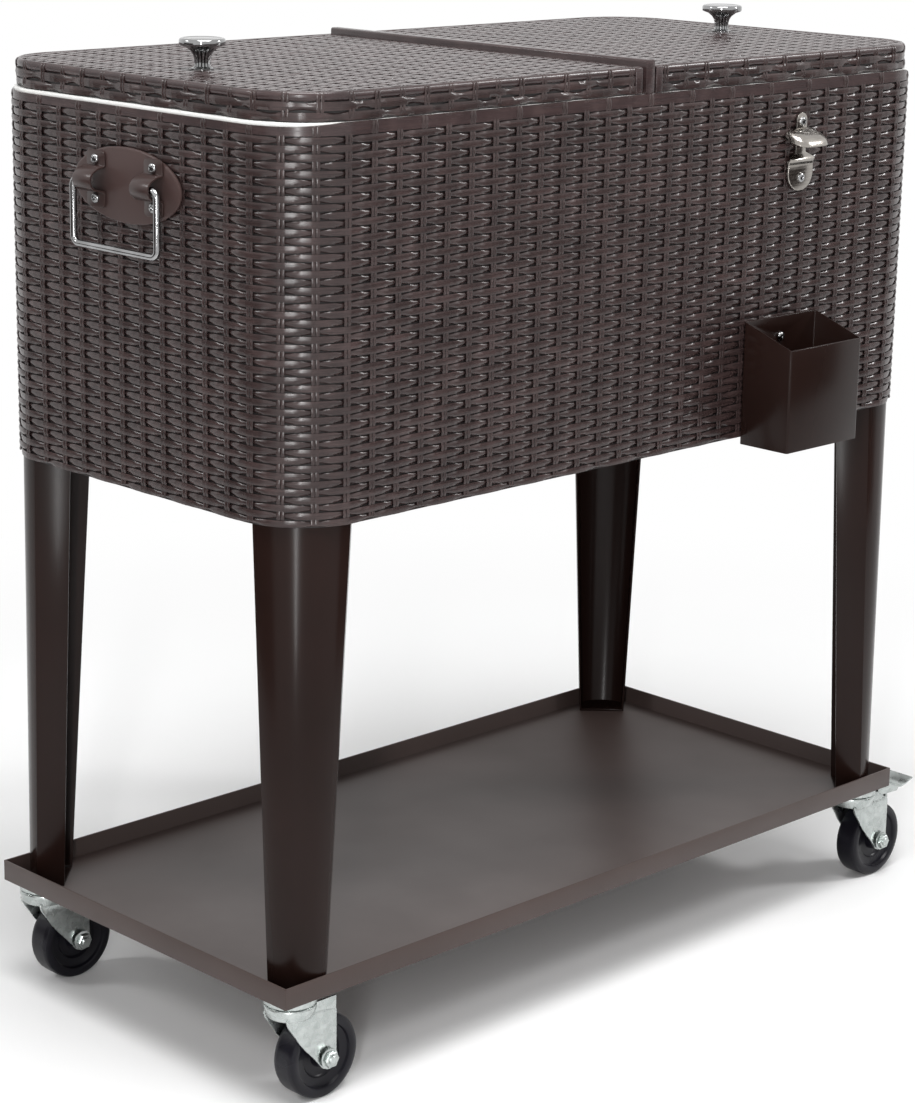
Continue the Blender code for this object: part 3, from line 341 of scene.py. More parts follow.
def resinStrand(name, grain, dark, middle, light):
    # Extruded PE resin strand: satin, with fine drawn lines along it and small shifts of tone
    material, tree, shader, place = newMaterial(name, IOR=1.5, Specular_IOR_Level=0.45)
    along = addNode(tree, "Mapping", links={"Vector": (place, "Object")}, sockets={"Scale": grain})
    lines = addNode(tree, "TexNoise", links={"Vector": (along, "Vector")},
                    sockets={"Scale": 1.0, "Detail": 3.0, "Roughness": 0.6})
    patches = addNode(tree, "TexNoise", links={"Vector": (place, "Object")},
                      sockets={"Scale": 45.0, "Detail": 2.0})  # a patch each 22 mm
    mixed = addNode(tree, "Mix", {"data_type": "FLOAT"},
                    {"A": (lines, "Fac"), "B": (patches, "Fac")}, {"Factor": 0.45})
    tones = ((0.32, linear(dark)), (0.5, linear(middle)), (0.68, linear(light)))
    finish(tree, shader, (mixed, "Result", tones), (lines, "Fac", ((0.3, grey(0.3)), (0.7, grey(0.2)))),
           (lines, "Fac", 0.35, 0.15 * mm))
    return material


def clouded(name, values, dark, light, roughness, spread, clouds, relief, strength, depth):
    # Wide clouds shift colour and gloss a little, and a fine noise gives the relief. Both noises
    # are (scale, detail)
    material, tree, shader, place = newMaterial(name, **values)
    wide, fine = (addNode(tree, "TexNoise", links={"Vector": (place, "Object")},
                          sockets={"Scale": scale, "Detail": detail}) for scale, detail in (clouds, relief))
    finish(tree, shader, (wide, "Fac", ((0.3, linear(dark)), (0.7, linear(light)))),
           (wide, "Fac", ((0.3, grey(roughness + spread)), (0.7, grey(roughness - spread)))),
           (fine, "Fac", strength, depth))
    return material


def powderCoat(name, dark, light, roughness, level, texture=0.10):
    # Baked powder coat on steel: even colour with a fine orange peel, about 1.5 mm from crest to crest
    return clouded(name, {"IOR": 1.5, "Specular_IOR_Level": level}, dark, light, roughness, 0.03,
                   (9.0, 3.0), (650.0, 1.0), texture, 0.12 * mm)


def mouldedPlastic(name, dark, light, roughness, grit, level=0.5):
    # Injection moulded polypropylene: waxy, with a faint mould texture
    return clouded(name, {"IOR": 1.49, "Specular_IOR_Level": level}, dark, light, roughness, 0.04,
                   (20.0, 2.0), (grit, 2.0), 0.12, 0.1 * mm)


def brightMetal(name, dark, light, smoothest, roughest, grain, strength):
    # Plated or polished steel: bare metal whose gloss breaks up in faint streaks
    material, tree, shader, place = newMaterial(name, Metallic=1.0)
    along = addNode(tree, "Mapping", links={"Vector": (place, "Object")}, sockets={"Scale": grain})
    streaks = addNode(tree, "TexNoise", links={"Vector": (along, "Vector")},
                      sockets={"Scale": 1.0, "Detail": 4.0})
    finish(tree, shader, (streaks, "Fac", ((0.3, linear(dark)), (0.7, linear(light)))),
           (streaks, "Fac", ((0.3, grey(smoothest)), (0.7, grey(roughest)))),
           (streaks, "Fac", strength, 0.05 * mm))
    return material


def paleFoam(name):
    # Rigid polyurethane foam: matte and cellular, seen only where a lid or the tub is cut open
    material, tree, shader, place = newMaterial(name, Roughness=0.9)
    cells = addNode(tree, "TexVoronoi", links={"Vector": (place, "Object")},
                    sockets={"Scale": 900.0})  # a cell each 1.1 mm
    finish(tree, shader, (cells, "Distance", ((0.0, linear("#d3c39a")), (0.8, linear("#e6dcbc")))),
           bump=(cells, "Distance", 0.4, 0.3 * mm))
    return material


# Drawn lines lie along the strand: across they repeat every 0.8 mm or so, along it every 40 mm
strandResin = resinStrand("wovenStrandResin", (25, 25, 1200), "#241919", "#332726", "#463736")
uprightResin = resinStrand("wovenUprightResin", (900, 900, 25), "#261b1b", "#342827", "#443635")
# The lid tops' strands get a lighter copy of the same resin: painted sheen that stands in for the light
# grazing the tops
sheenLitTopResin = resinStrand("lidTopStrandResin", (25, 1200, 1200), "#382e2e", "#463b3b", "#574b4b")
bandResin = resinStrand("rimBandResin", (25, 25, 500), "#2b2020", "#382b2b", "#483a39")
casingResin = mouldedPlastic("resinCasing", "#120e0e", "#1a1515", 0.6, 600)
brownCoat = powderCoat("brownPowderCoat", "#3d322f", "#453936", 0.42, 0.35)
handleCoat = powderCoat("handlePowderCoat", "#3d2f2d", "#463735", 0.36, 0.2)
bracketCoat = powderCoat("bracketPowderCoat", "#2e2220", "#382a28", 0.3, 0.3)
darkCoat = powderCoat("darkGlossPowderCoat", "#1c110e", "#221512", 0.22, 0.15, 0.06)
whitePlastic = mouldedPlastic("whitePolypropylene", "#e4e4e2", "#ecece9", 0.32, 900)
blackPlastic = mouldedPlastic("blackPolypropylene", "#1c1b20", "#26252b", 0.38, 500)
wheelPlastic = mouldedPlastic("blackNylonWheel", "#0f0e13", "#16151c", 0.3, 500, 0.2)
chromeSteel = brightMetal("chromedSteel", "#8e8e8e", "#a8a8a9", 0.06, 0.14, (60, 60, 60), 0.03)
polishedSteel = brightMetal("polishedStainlessSteel", "#918c87", "#aaa59f", 0.12, 0.22, (40, 40, 700), 0.05)
zincSteel = brightMetal("zincPlatedSteel", "#a4aaa8", "#bec3c1", 0.22, 0.34, (150, 150, 150), 0.08)
foamMaterial = paleFoam("polyurethaneFoam")
print("materials done")


# Guides and strands of the weave

def across(heading):
    # The way to the left of a heading
    return Vector((-math.sin(heading), math.cos(heading)))


def roundRoute(half, middle, radius, spacing, seam=None):
    # Points along a rounded rectangle, anticlockwise seen from above. It starts at the middle of
    # the back and closes on itself, or runs from the seam at the back round the left end to the front
    width, depth = half
    side = 2 * (depth - radius)
    end = width - radius + (seam or 0)
    lengths = (end, side, 2 * end, side, end) if seam is None else (end, side, end)
    place = Vector((seam or 0, depth))
    heading = math.pi
    runs = []
    for index, length in enumerate(lengths):
        runs.append((False, place, heading, length))
        place = place + length * Vector((math.cos(heading), math.sin(heading)))
        if index < len(lengths) - 1:
            runs.append((True, place, heading, math.pi / 2 * radius))
            place = place + radius * across(heading)
            heading += math.pi / 2
            place = place - radius * across(heading)
    total = sum(run[3] for run in runs)
    count = round(total / spacing)
    points = []
    for i in range(count if seam is None else count + 1):
        far = total * i / count
        for bend, begin, heading, length in runs:
            if far <= length + 1e-9:
                break
            far -= length
        if bend:
            spot = begin + radius * across(heading) - radius * across(heading + far / radius)
        else:
            spot = begin + far * Vector((math.cos(heading), math.sin(heading)))
        points.append((middle[0] + spot.x, middle[1] + spot.y))
    return points, total


def addGuide(name, points, closed):
    data = bpy.data.curves.new(name, "CURVE")
    data.dimensions = "3D"
    data.twist_mode = "Z_UP"
    spline = data.splines.new("POLY")
    spline.points.add(len(points) - 1)
    for point, (x, y) in zip(spline.points, points):
        point.co = (x, y, 0, 1)
    spline.use_cyclic_u = closed
    guide = bpy.data.objects.new(name, data)
    bpy.context.scene.collection.objects.link(guide)
    return guide


def bendRound(piece, guide):
    addModifier(piece, "CURVE", object=guide, deform_axis="POS_X")


def repeat(piece, count, offset, merge=False):
    addModifier(piece, "ARRAY", count=count, use_relative_offset=False, use_constant_offset=True,
                constant_offset_displace=offset, use_merge_vertices=merge, merge_threshold=0.01 * mm)


def cutAway(piece, point, normal):
    # Removes what lies on the side that the normal points to, and closes the cut ends
    startEdit(piece, "FACE", "SELECT")
    bpy.ops.mesh.bisect(plane_co=point, plane_no=normal, use_fill=True, clear_outer=True,
                        threshold=0.001 * mm)
    endEdit()


def closeEnds(piece):
    startEdit(piece, "EDGE")
    bpy.ops.mesh.select_non_manifold(extend=False, use_wire=False, use_boundary=True,
                                     use_multi_face=False, use_non_contiguous=False, use_verts=False)
    bpy.ops.mesh.edge_face_add()
    endEdit()


def loosen(piece, amount, seed):
    # Woven strands never lie quite alike
    startEdit(piece, "VERT", "SELECT")
    bpy.ops.transform.vertex_random(offset=amount, uniform=0.0, normal=0.0, seed=seed)
    endEdit()


# The tub's weave: 48 rows of flat strand over 86 pairs of uprights
tubWeave = {
    "pairs": 86,
    "rows": 48,
    "corner": 61 * mm,  # radius of the tub's corners
    "top": -5.6 * mm,  # top of the weave, from the tub's top edge
    "rodTop": 0.9 * mm,  # top of the uprights, from the same edge
    "casing": 2.5 * mm,  # the casing lies this far behind the front of the weave
    "strandThick": 1.5 * mm,
    # Half a wave of the strand, as (distance from its middle, front's depth, half height). The two
    # rods of a pair show through it as two low ridges
    "strandStations": ((0, 2.25, 2.95), (1.7, 2.5, 2.95), (3.8, 2.25, 2.95), (9.5, 2.05, 2.97),
                       (16.5, 1.6, 2.85), (20.5, 0.9, 2.45)),
    "strandLow": (0.4, 2.2),  # depth and half height where it goes behind the next pair
    "rodWidth": 2.8 * mm,
    "rodThick": 1.5 * mm,
    "rodSection": 1.81,  # depth of a five-sided ring for a radius of 1
    "rodSpacing": 3.2 * mm,
    "rodFront": (2.5, 1.95, 1.1),  # shown, between, covered
    "loose": 0.06 * mm,
}
guideStep = 5 * mm
weaveAngle = 80  # strands and uprights shade smooth up to this angle
wallHalf = [half - tubWeave["casing"] for half in tubHalf.xy]
wallCorner = tubWeave["corner"] - tubWeave["casing"]
points, around = roundRoute(wallHalf, tubMiddle, wallCorner, guideStep)
tubGuide = addGuide("tubGuide", points, True)
pairPitch = around / tubWeave["pairs"]
rowPitch = (tubHigh.z + tubWeave["top"] - tubLow.z) / tubWeave["rows"]
shown, between, covered = (front * mm for front in tubWeave["rodFront"])


def strandRows(name, pitch, row, starts, base=0.0, depth=1.0):
    # Strands one above the other, each a wave long from its own start. They have the tub's
    # section, scaled to their row's height and to the depth given
    thick, level, tall = tubWeave["strandThick"] * depth, base + row / 2, row / rowPitch
    half = [(x * mm, d * mm * depth, h * mm * tall) for x, d, h in tubWeave["strandStations"]]
    d, h = tubWeave["strandLow"]
    half.append((pitch, d * mm * depth, h * mm * tall))
    stations = [(-x, d, h) for x, d, h in reversed(half[1:])] + half
    x0, d0, h0 = stations[0]
    strand = ring(name, 6, 1, (x0, thick / 2 - d0, level), (0, math.pi / 2, 0),
                  (h0, thick / 2 / math.cos(math.pi / 6), 1))
    for (x0, d0, h0), (x1, d1, h1) in zip(stations, stations[1:]):
        extrude((x1 - x0, d0 - d1, 0), (1, 1, h1 / h0), (x1, thick / 2 - d1, level))
    endEdit()
    strands = [strand] + [copyOf(strand, name) for start in starts[1:]]
    for index, (strand, start) in enumerate(zip(strands, starts)):
        setDown(strand, (start, 0, index * row))
    return joinPieces(strands, name)


def uprightPairs(name, pitch, row, start, base=0.0, depth=1.0, slim=1.0, foot=(), heads=None):
    # Two pairs of rods, which step forward where a strand goes behind them: the first pair at the
    # second row, the other at the first. A level is (height, front's depth)
    width, thick = tubWeave["rodWidth"] * slim, tubWeave["rodThick"] * depth
    size = (width / 2 / math.sin(math.radians(72)), thick / tubWeave["rodSection"], 1)
    rods = []
    for pair, fronts in enumerate(((covered, shown), (shown, covered))):
        levels = list(foot)
        for index, front in enumerate(fronts):
            levels += [(base + (index + 0.5) * row, front * depth),
                       (base + (index + 1) * row, between * depth)]
        if heads:
            levels[-1:] = heads[fronts[-1]]
        else:
            levels.append((base + 2.5 * row, fronts[0] * depth))
        for side in (-0.5, 0.5):
            x = start + pair * pitch + side * tubWeave["rodSpacing"]
            z0, d0 = levels[0]
            rods.append(ring("rod", 5, 1, (x, thick / 2 - d0, z0), (0, 0, math.pi), size))
            for (z0, d0), (z1, d1) in zip(levels, levels[1:]):
                extrude((0, d0 - d1, z1 - z0))
            endEdit()
    return joinPieces(rods, name)


lowerStrands = strandRows("tubLowerStrands", pairPitch, rowPitch, (2 * pairPitch, 3 * pairPitch), tubLow.z)
repeat(lowerStrands, tubWeave["pairs"] // 2, (2 * pairPitch, 0, 0), True)
bendRound(lowerStrands, tubGuide)
mergeSeams(lowerStrands)
repeat(lowerStrands, tubWeave["rows"] // 4, (0, 0, 2 * rowPitch))
faceOut(lowerStrands, weaveAngle)
upperStrands = copyOf(lowerStrands, "tubUpperStrands")
setDown(upperStrands, (0, 0, tubWeave["rows"] // 2 * rowPitch))
for seed, piece in ((3, lowerStrands), (4, upperStrands)):
    loosen(piece, tubWeave["loose"], seed)
    dress(piece, "cart", "woven_resin", strandResin)
print("tub strands", 2 * len(lowerStrands.data.polygons))

tubUprights = uprightPairs("tubUprights", pairPitch, rowPitch, 2 * pairPitch, tubLow.z)
repeat(tubUprights, tubWeave["rows"] // 2 + 1, (0, 0, 2 * rowPitch), True)
closeEnds(tubUprights)
cutAway(tubUprights, (0, 0, tubHigh.z + tubWeave["rodTop"]), (0, 0, 1))
repeat(tubUprights, tubWeave["pairs"] // 2, (2 * pairPitch, 0, 0))
bendRound(tubUprights, tubGuide)
print("tub uprights", len(tubUprights.data.polygons))


# Casings behind the weave: thin boxes with rounded corners and without the open sides
casingSizes = {"tubSheet": 0.5 * mm, "lidSheet": 0.4 * mm, "cornerSegments": 16}


def makeCasing(name, low, high, isCorner, radius, isOpen, sheet):
    casing = block(name, low, high)
    startEdit(casing, "EDGE")
    pick(casing, lambda edge: abs(edgeWay(edge).z) > mostly and isCorner(edgeMiddle(edge)), "EDGE")
    bevel(radius, casingSizes["cornerSegments"])
    pick(casing, isOpen)
    bpy.ops.mesh.delete(type="FACE")
    endEdit()
    addModifier(casing, "SOLIDIFY", thickness=sheet, offset=-1)
    smooth(casing)
    return casing


low = (tubMiddle.x - wallHalf[0], tubMiddle.y - wallHalf[1], tubLow.z)
high = (tubMiddle.x + wallHalf[0], tubMiddle.y + wallHalf[1], tubHigh.z)
tubCasing = makeCasing("tubCasing", low, high, lambda spot: True, wallCorner,
                       lambda face: face.normal.z > mostly, casingSizes["tubSheet"])
standIn(tubCasing, "tub_shell", casingResin)


# A wide strand closes the weave at the tub's top edge
tubBandSizes = {
    "height": 6.6 * mm,
    "thick": 1.8 * mm,
    "front": 1.6 * mm,
    "sides": 12,
    "squared": (0.9, 1.14),
    "steps": 430,
    "lift": 1.2 * mm,  # it stands this far above the tub's top edge
    "rise": 2.9 * mm,  # along the front the strand stands higher, before the liner's lip
    "riseFrom": -3.4 * mm,  # what is above this level rises, from the same edge
    "riseStart": (18 * mm, 50 * mm),  # from the left end of the tub
    "riseEnd": (40 * mm, 25 * mm),  # from its right end
}


def bandAlong(name, guide, length, top, sizes):
    # A flat rounded strip along a guide. Its ellipse is squared up as far as the first share of its
    # height, and stretched there by the second
    half, thick = sizes["height"] / 2, sizes["thick"]
    middle, level = thick / 2 - sizes["front"], top - half
    share, stretch = sizes["squared"]
    step = length / sizes["steps"]
    band = ring(name, sizes["sides"], 1, (0, middle, level), (0, math.pi / 2, 0), (half, thick / 2, 1))
    for vertex in bmesh.from_edit_mesh(band.data).verts:
        reach = (vertex.co.z - level) / half
        if abs(reach) < share:
            vertex.co.y = middle + math.copysign(thick / 2, vertex.co.y - middle)
            vertex.co.z = level + reach * stretch * half
    bmesh.update_edit_mesh(band.data)
    for part in range(2):
        extrude((step / 2, 0, 0))
    endEdit()
    repeat(band, sizes["steps"], (step, 0, 0), True)
    bendRound(band, guide)
    return band


tubBand = bandAlong("tubBand", tubGuide, around, tubHigh.z + tubBandSizes["lift"], tubBandSizes)
mergeSeams(tubBand)
# The band and the uprights that cross it stand higher along the front
start, full = (tubLow.x + far for far in tubBandSizes["riseStart"])
fall, end = (tubHigh.x - far for far in tubBandSizes["riseEnd"])
for piece, angle, resin in ((tubBand, 50, bandResin), (tubUprights, weaveAngle, uprightResin)):
    startEdit(piece, "VERT")
    for vertex in bmesh.from_edit_mesh(piece.data).verts:
        if vertex.co.y < tubMiddle.y and vertex.co.z > tubHigh.z + tubBandSizes["riseFrom"]:
            share = min((vertex.co.x - start) / (full - start), (end - vertex.co.x) / (end - fall), 1)
            vertex.co.z += max(share, 0) * tubBandSizes["rise"]
    bmesh.update_edit_mesh(piece.data)
    endEdit()
    faceOut(piece, angle)
    dress(piece, "cart", "woven_resin", resin)
print("tub band and casing done")


# Lids. The left one is modelled and the right one is a copy, turned half round
leftLow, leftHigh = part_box("left_lid_shell")
lidWeave = {
    "corner": 58 * mm,
    "skirtPairs": 42,
    "skirtGap": 0.3 * mm,  # the skirt's strands stop this far from the seam
    "rodGap": 2 * mm,  # and the last upright this far from it
    "rodSlim": 0.9,  # the skirt's uprights, from the tub's
    "rodFoot": (0.3 * mm, 0.9),  # their foot: height, and share of the covered depth
    # They hook over the rim: height above its lower edge, share of the way out
    "hooks": ((-0.9, 0.8), (0.6, 0.95), (2.0, 1.0), (3.2, 1.0), (4.5, 0.92), (5.6, 0.66), (6.4, 0.36),
              (6.7, 0.1)),
    "hookFronts": (2.0 * mm, 2.5 * mm),  # of an upright covered by the last strand, and of one shown
    "topRows": 60,
    "topPairs": 15,
    "topDepth": 0.74,  # depth of the top's strands, from the tub's
    "topRelief": 1.9 * mm,  # they stand this high on the casing
    "topLoose": 0.042 * mm,
    "topStart": 4 * mm,  # the first row's place inside the lid's edge
    "topInset": 3.6 * mm,  # the top's weave ends this far inside the edge
    "topSeam": 0.4 * mm,  # and this far from the seam
    "cornerCuts": 9,
}
rimSizes = {
    "height": 7.2 * mm,
    "thick": 5.0 * mm,
    "front": 1.6 * mm,
    "sides": 16,
    "squared": (0.3, 1.0),
    "steps": 240,
    "lap": 0.4 * mm,  # the skirt goes this far up behind it
}
lidHalf = (tubMiddle.x - leftLow.x, (leftHigh.y - leftLow.y) / 2)
skirtHalf = [half - tubWeave["casing"] for half in lidHalf]
skirtCorner = lidWeave["corner"] - tubWeave["casing"]
points, lidAround = roundRoute(skirtHalf, tubMiddle, skirtCorner, guideStep, leftHigh.x - tubMiddle.x)
lidGuide = addGuide("lidGuide", points, False)
skirtPitch = lidAround / lidWeave["skirtPairs"]
skirtHigh = leftHigh.z - rimSizes["height"] + rimSizes["lap"]
skirtRow = (skirtHigh - leftLow.z) / 2

# Two rows of strand
leftSkirt = strandRows("leftSkirtStrands", skirtPitch, skirtRow, (0, -skirtPitch), leftLow.z)
repeat(leftSkirt, lidWeave["skirtPairs"] // 2 + 2, (2 * skirtPitch, 0, 0), True)
cutAway(leftSkirt, (lidWeave["skirtGap"], 0, 0), (-1, 0, 0))
cutAway(leftSkirt, (lidAround - lidWeave["skirtGap"], 0, 0), (1, 0, 0))
bendRound(leftSkirt, lidGuide)
loosen(leftSkirt, tubWeave["loose"], 5)
faceOut(leftSkirt, weaveAngle)

# Uprights, whose tops hook over the rim
lift, share = lidWeave["rodFoot"]
foot = [(leftLow.z + lift, covered * share)]
heads = {front: [(skirtHigh + rise * mm, reach * share) for rise, share in lidWeave["hooks"]]
         for front, reach in zip((covered, shown), lidWeave["hookFronts"])}
leftSkirtRods = uprightPairs("leftSkirtUprights", skirtPitch, skirtRow, skirtPitch / 2, leftLow.z,
                             slim=lidWeave["rodSlim"], foot=foot, heads=heads)
closeEnds(leftSkirtRods)
repeat(leftSkirtRods, lidWeave["skirtPairs"] // 2 + 1, (2 * skirtPitch, 0, 0))
startEdit(leftSkirtRods, "VERT")
pick(leftSkirtRods, lambda vertex: vertex.co.x > lidAround - lidWeave["rodGap"], "VERT")
bpy.ops.mesh.delete(type="VERT")
endEdit()
bendRound(leftSkirtRods, lidGuide)
faceOut(leftSkirtRods, weaveAngle)

# Rolled rim along the top edge
leftRim = bandAlong("leftRim", lidGuide, lidAround, leftHigh.z, rimSizes)
closeEnds(leftRim)
faceOut(leftRim, 50)

# Casing of the lid, open below and at the seam
topFloor = leftHigh.z - lidWeave["topRelief"]
low = (tubMiddle.x - skirtHalf[0], tubMiddle.y - skirtHalf[1], leftLow.z)
high = (leftHigh.x, tubMiddle.y + skirtHalf[1], topFloor)
leftCasing = makeCasing("leftLidCasing", low, high, lambda spot: spot.x < (leftLow.x + leftHigh.x) / 2,
                        skirtCorner, lambda face: face.normal.z < -mostly or face.normal.x > mostly,
                        casingSizes["lidSheet"])

# Weave on the lid's top. It is made standing, front to -Y, and laid down before its corners are cut
topLow = (leftLow.x + lidWeave["topStart"], leftLow.y + lidWeave["topStart"])
topPitch = (leftHigh.x - topLow[0]) / lidWeave["topPairs"]
topRow = (leftHigh.y - lidWeave["topStart"] - topLow[1]) / lidWeave["topRows"]
leftTop = strandRows("leftLidStrands", topPitch, topRow, (-topPitch / 2, topPitch / 2),
                     depth=lidWeave["topDepth"])
repeat(leftTop, lidWeave["topPairs"] // 2 + 2, (2 * topPitch, 0, 0), True)
repeat(leftTop, lidWeave["topRows"] // 2, (0, 0, 2 * topRow))
leftTopRods = uprightPairs("leftLidUprights", topPitch, topRow, -topPitch / 2, depth=lidWeave["topDepth"])
repeat(leftTopRods, lidWeave["topRows"] // 2, (0, 0, 2 * topRow), True)
closeEnds(leftTopRods)
repeat(leftTopRods, lidWeave["topPairs"] // 2 + 2, (2 * topPitch, 0, 0))


def trimToLid(piece, inset):
    # Cuts a flat piece to the lid's outline: square at the seam, rounded at the outer end
    cutAway(piece, (leftHigh.x - lidWeave["topSeam"], 0, 0), (1, 0, 0))
    cutAway(piece, (leftLow.x + inset, 0, 0), (-1, 0, 0))
    radius = lidWeave["corner"] - inset
    for way in (-1, 1):
        edge = leftHigh.y - inset if way > 0 else leftLow.y + inset
        cutAway(piece, (0, edge, 0), (0, way, 0))
        centre = Vector((leftLow.x + lidWeave["corner"], edge - way * radius, 0))
        for step in range(1, lidWeave["cornerCuts"] + 1):
            angle = math.radians(90 * step / (lidWeave["cornerCuts"] + 1))
            normal = Vector((-math.cos(angle), way * math.sin(angle), 0))
            cutAway(piece, centre + radius * normal, normal)


for piece in (leftTop, leftTopRods):
    # Height along Z becomes depth along Y, and the front, at -Y, comes to face up
    setDown(piece, (*topLow, topFloor), (-math.pi / 2, 0, 0))
loosen(leftTop, lidWeave["topLoose"], 7)
for piece in (leftTop, leftTopRods):
    trimToLid(piece, lidWeave["topInset"])
    faceOut(piece, weaveAngle)
print("lid weave done", len(leftTop.data.polygons), len(leftTopRods.data.polygons))

# Straps that close the skirt at the seam
strapSizes = {"width": 8 * mm, "thick": 2.6 * mm, "topGap": 0.6 * mm, "bevel": 0.8 * mm}
straps = []
for way in (-1, 1):
    edge = tubMiddle.y + way * lidHalf[1]
    near, far = sorted((edge, edge - way * strapSizes["thick"]))
    strap = block("strap", (leftHigh.x - strapSizes["width"], near, leftLow.z),
                  (leftHigh.x, far, leftHigh.z - strapSizes["topGap"]))
    startEdit(strap, "EDGE", "SELECT")
    bevel(strapSizes["bevel"], 3)
    endEdit()
    straps.append(strap)
leftStraps = joinPieces(straps, "leftSeamStraps")
smooth(leftStraps)

leftPieces = {
    "LidCasing": (leftCasing, casingResin, ["lid_shell"]),
    "SkirtStrands": (leftSkirt, strandResin, []),
    "SkirtUprights": (leftSkirtRods, uprightResin, []),
    "LidRim": (leftRim, bandResin, []),
    "LidStrands": (leftTop, sheenLitTopResin, []),
    "LidUprights": (leftTopRods, uprightResin, []),
    "SeamStraps": (leftStraps, bandResin, []),
}
for name, (piece, material, replaced) in leftPieces.items():
    piece.name = "left" + name
    twin = copyOf(piece, "right" + name)
    setDown(twin, (2 * tubMiddle.x, 2 * tubMiddle.y, 0), (0, 0, math.pi))
    for side, half in (("left", piece), ("right", twin)):
        dress(half, f"{side}_lid", "woven_resin", material, *(f"{side}_{node}" for node in replaced))
print("lids done")


# Sheet and moulded pieces: CAD shapes with their edges eased
easedPieces = {
    "tub_liner": (whitePlastic, 0.5 * mm),
    "centre_bridge": (bandResin, 0.3 * mm),
    "cap_catcher": (darkCoat, 0.3 * mm),
    "shelf_tray": (brownCoat, 0.5 * mm),
    "drain_spout": (blackPlastic, 0.3 * mm),
    "drain_nut": (blackPlastic, 0.3 * mm),
    "drain_cap": (blackPlastic, 0.3 * mm),
    "back_right_brake_pedal": (zincSteel, 0.3 * mm),
    "front_right_brake_pedal": (zincSteel, 0.3 * mm),
}
for side in ("left", "right"):
    easedPieces[f"{side}_lid_liner"] = (whitePlastic, 0.4 * mm)
    for end in ("front", "back"):
        easedPieces[f"{end}_{side}_caster_mount"] = (zincSteel, 0.3 * mm)
        easedPieces[f"{end}_{side}_leg"] = (darkCoat, 0.3 * mm)
        easedPieces[f"{end}_{side}_caster_fork"] = (zincSteel, 0.3 * mm)
for node, (material, edge) in easedPieces.items():
    piece = copyOfNode(node, camel(node))
    easeEdges(piece, edge, 30)
    smooth(piece)
    standIn(piece, node, material)
print("eased pieces done")

# Cross-head pan screws: modelled once and copied
screwSizes = {
    "radius": 4.1,
    "height": 2.3,
    # Shares of the radius and of the height, from the foot to the crown
    "rings": ((0.97, 0), (1, 0.12), (0.98, 0.45), (0.86, 0.75), (0.62, 0.93), (0.3, 1)),
    "slot": (5.0 * mm, 0.9 * mm, 1.1 * mm),
}


def makeScrew():
    top = screwSizes["height"]
    head = turned("screw", [(r * screwSizes["radius"], z * top) for r, z in screwSizes["rings"]], 32)
    length, width, depth = screwSizes["slot"]
    for x, y in ((length / 2, width / 2), (width / 2, length / 2)):
        slot = block("slot", (-x, -y, top * mm - depth), (x, y, top * mm + depth))
        addModifier(head, "BOOLEAN", operation="DIFFERENCE", solver="EXACT", object=slot)
        bpy.data.objects.remove(slot)
    smooth(head)
    return head


def addScrew(name, place, axis, turn, *replaced):
    screw = copyOf(screwMaster, name)
    setDown(screw, turn=(0, 0, math.radians(turn)))
    setDown(screw, place, axisTurns[axis])
    faceOut(screw)
    dress(screw, "cart", "polished_steel", chromeSteel, *replaced)


screwMaster = makeScrew()

# Lid knobs: turned head with a flat ring, fluted neck
knobSizes = {
    "rings": ((8.6, -1.2), (8.6, 0.7), (8.0, 1.2), (6.6, 2.2), (6.2, 4.5), (6.4, 8.0), (7.2, 11.0),
              (9.0, 13.8), (12.5, 16.6), (16.4, 18.0), (17.6, 18.5), (18.0, 19.3), (18.0, 22.0),
              (17.6, 23.0), (16.8, 23.6), (15.6, 23.8), (14.8, 23.5), (14.2, 23.3), (11.0, 23.7),
              (5.0, 24.1)),
    "height": 24.3 * mm,
    "flutes": 16,
    "fluteZone": (1.8 * mm, 15.5 * mm),
    "fluteDepth": 0.80,
}


def makeKnob(node):
    steps = knobSizes["flutes"] * 4
    knob = turned(camel(node), knobSizes["rings"], steps)
    bottom, top = knobSizes["fluteZone"]

    def inFlute(vertex):
        angle = math.atan2(vertex.co.y, vertex.co.x) / (2 * math.pi) * steps
        return bottom < vertex.co.z < top and round(angle) % 4 == 0

    startEdit(knob, "VERT")
    pick(knob, inFlute, "VERT")
    depth = knobSizes["fluteDepth"]
    bpy.ops.transform.resize(value=(depth, depth, 1), center_override=(0, 0, 0))
    endEdit()
    middle = middleOf(node)
    setDown(knob, (middle.x, middle.y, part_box(node)[1].z - knobSizes["height"]))
    smooth(knob, 40)
    standIn(knob, node, chromeSteel)


for side in ("left", "right"):
    makeKnob(f"{side}_lid_knob")
print("knobs done")

# Handles: oval plate, two folded brackets with two screws each, and a wire bail
handleSizes = {
    "plateRings": ((28.2, 0), (29.0, 0.5), (29.0, 1.6), (28.4, 2.2), (27.6, 2.5)),
    "plateLength": 130 / 58,
    "bracketWidth": 22 * mm,
    # (outward, up) of the strip's inner face, from the top tab to the bottom tab
    "bracketFold": ((0, 22), (0, 9.9), (1.4, 8.8), (7.0, 7.8), (11.4, 5.6), (13.9, 2.4), (14.4, -1.2),
                    (13.0, -4.6), (9.6, -7.2), (1.4, -8.8), (0, -9.9), (0, -22)),
    "bracketSheet": 1.5 * mm,
    "bracketEdge": 0.35 * mm,
    "tabCorner": 4 * mm,
    "screwHeight": 14.9 * mm,
    "screwTurns": {"Top": 55, "Bottom": -15},
    "wire": 2.8 * mm,
    "wireInset": 3 * mm,  # its middle runs this far inside the bail's box
    "bend": 6 * mm,
    "stub": 28 * mm,
}


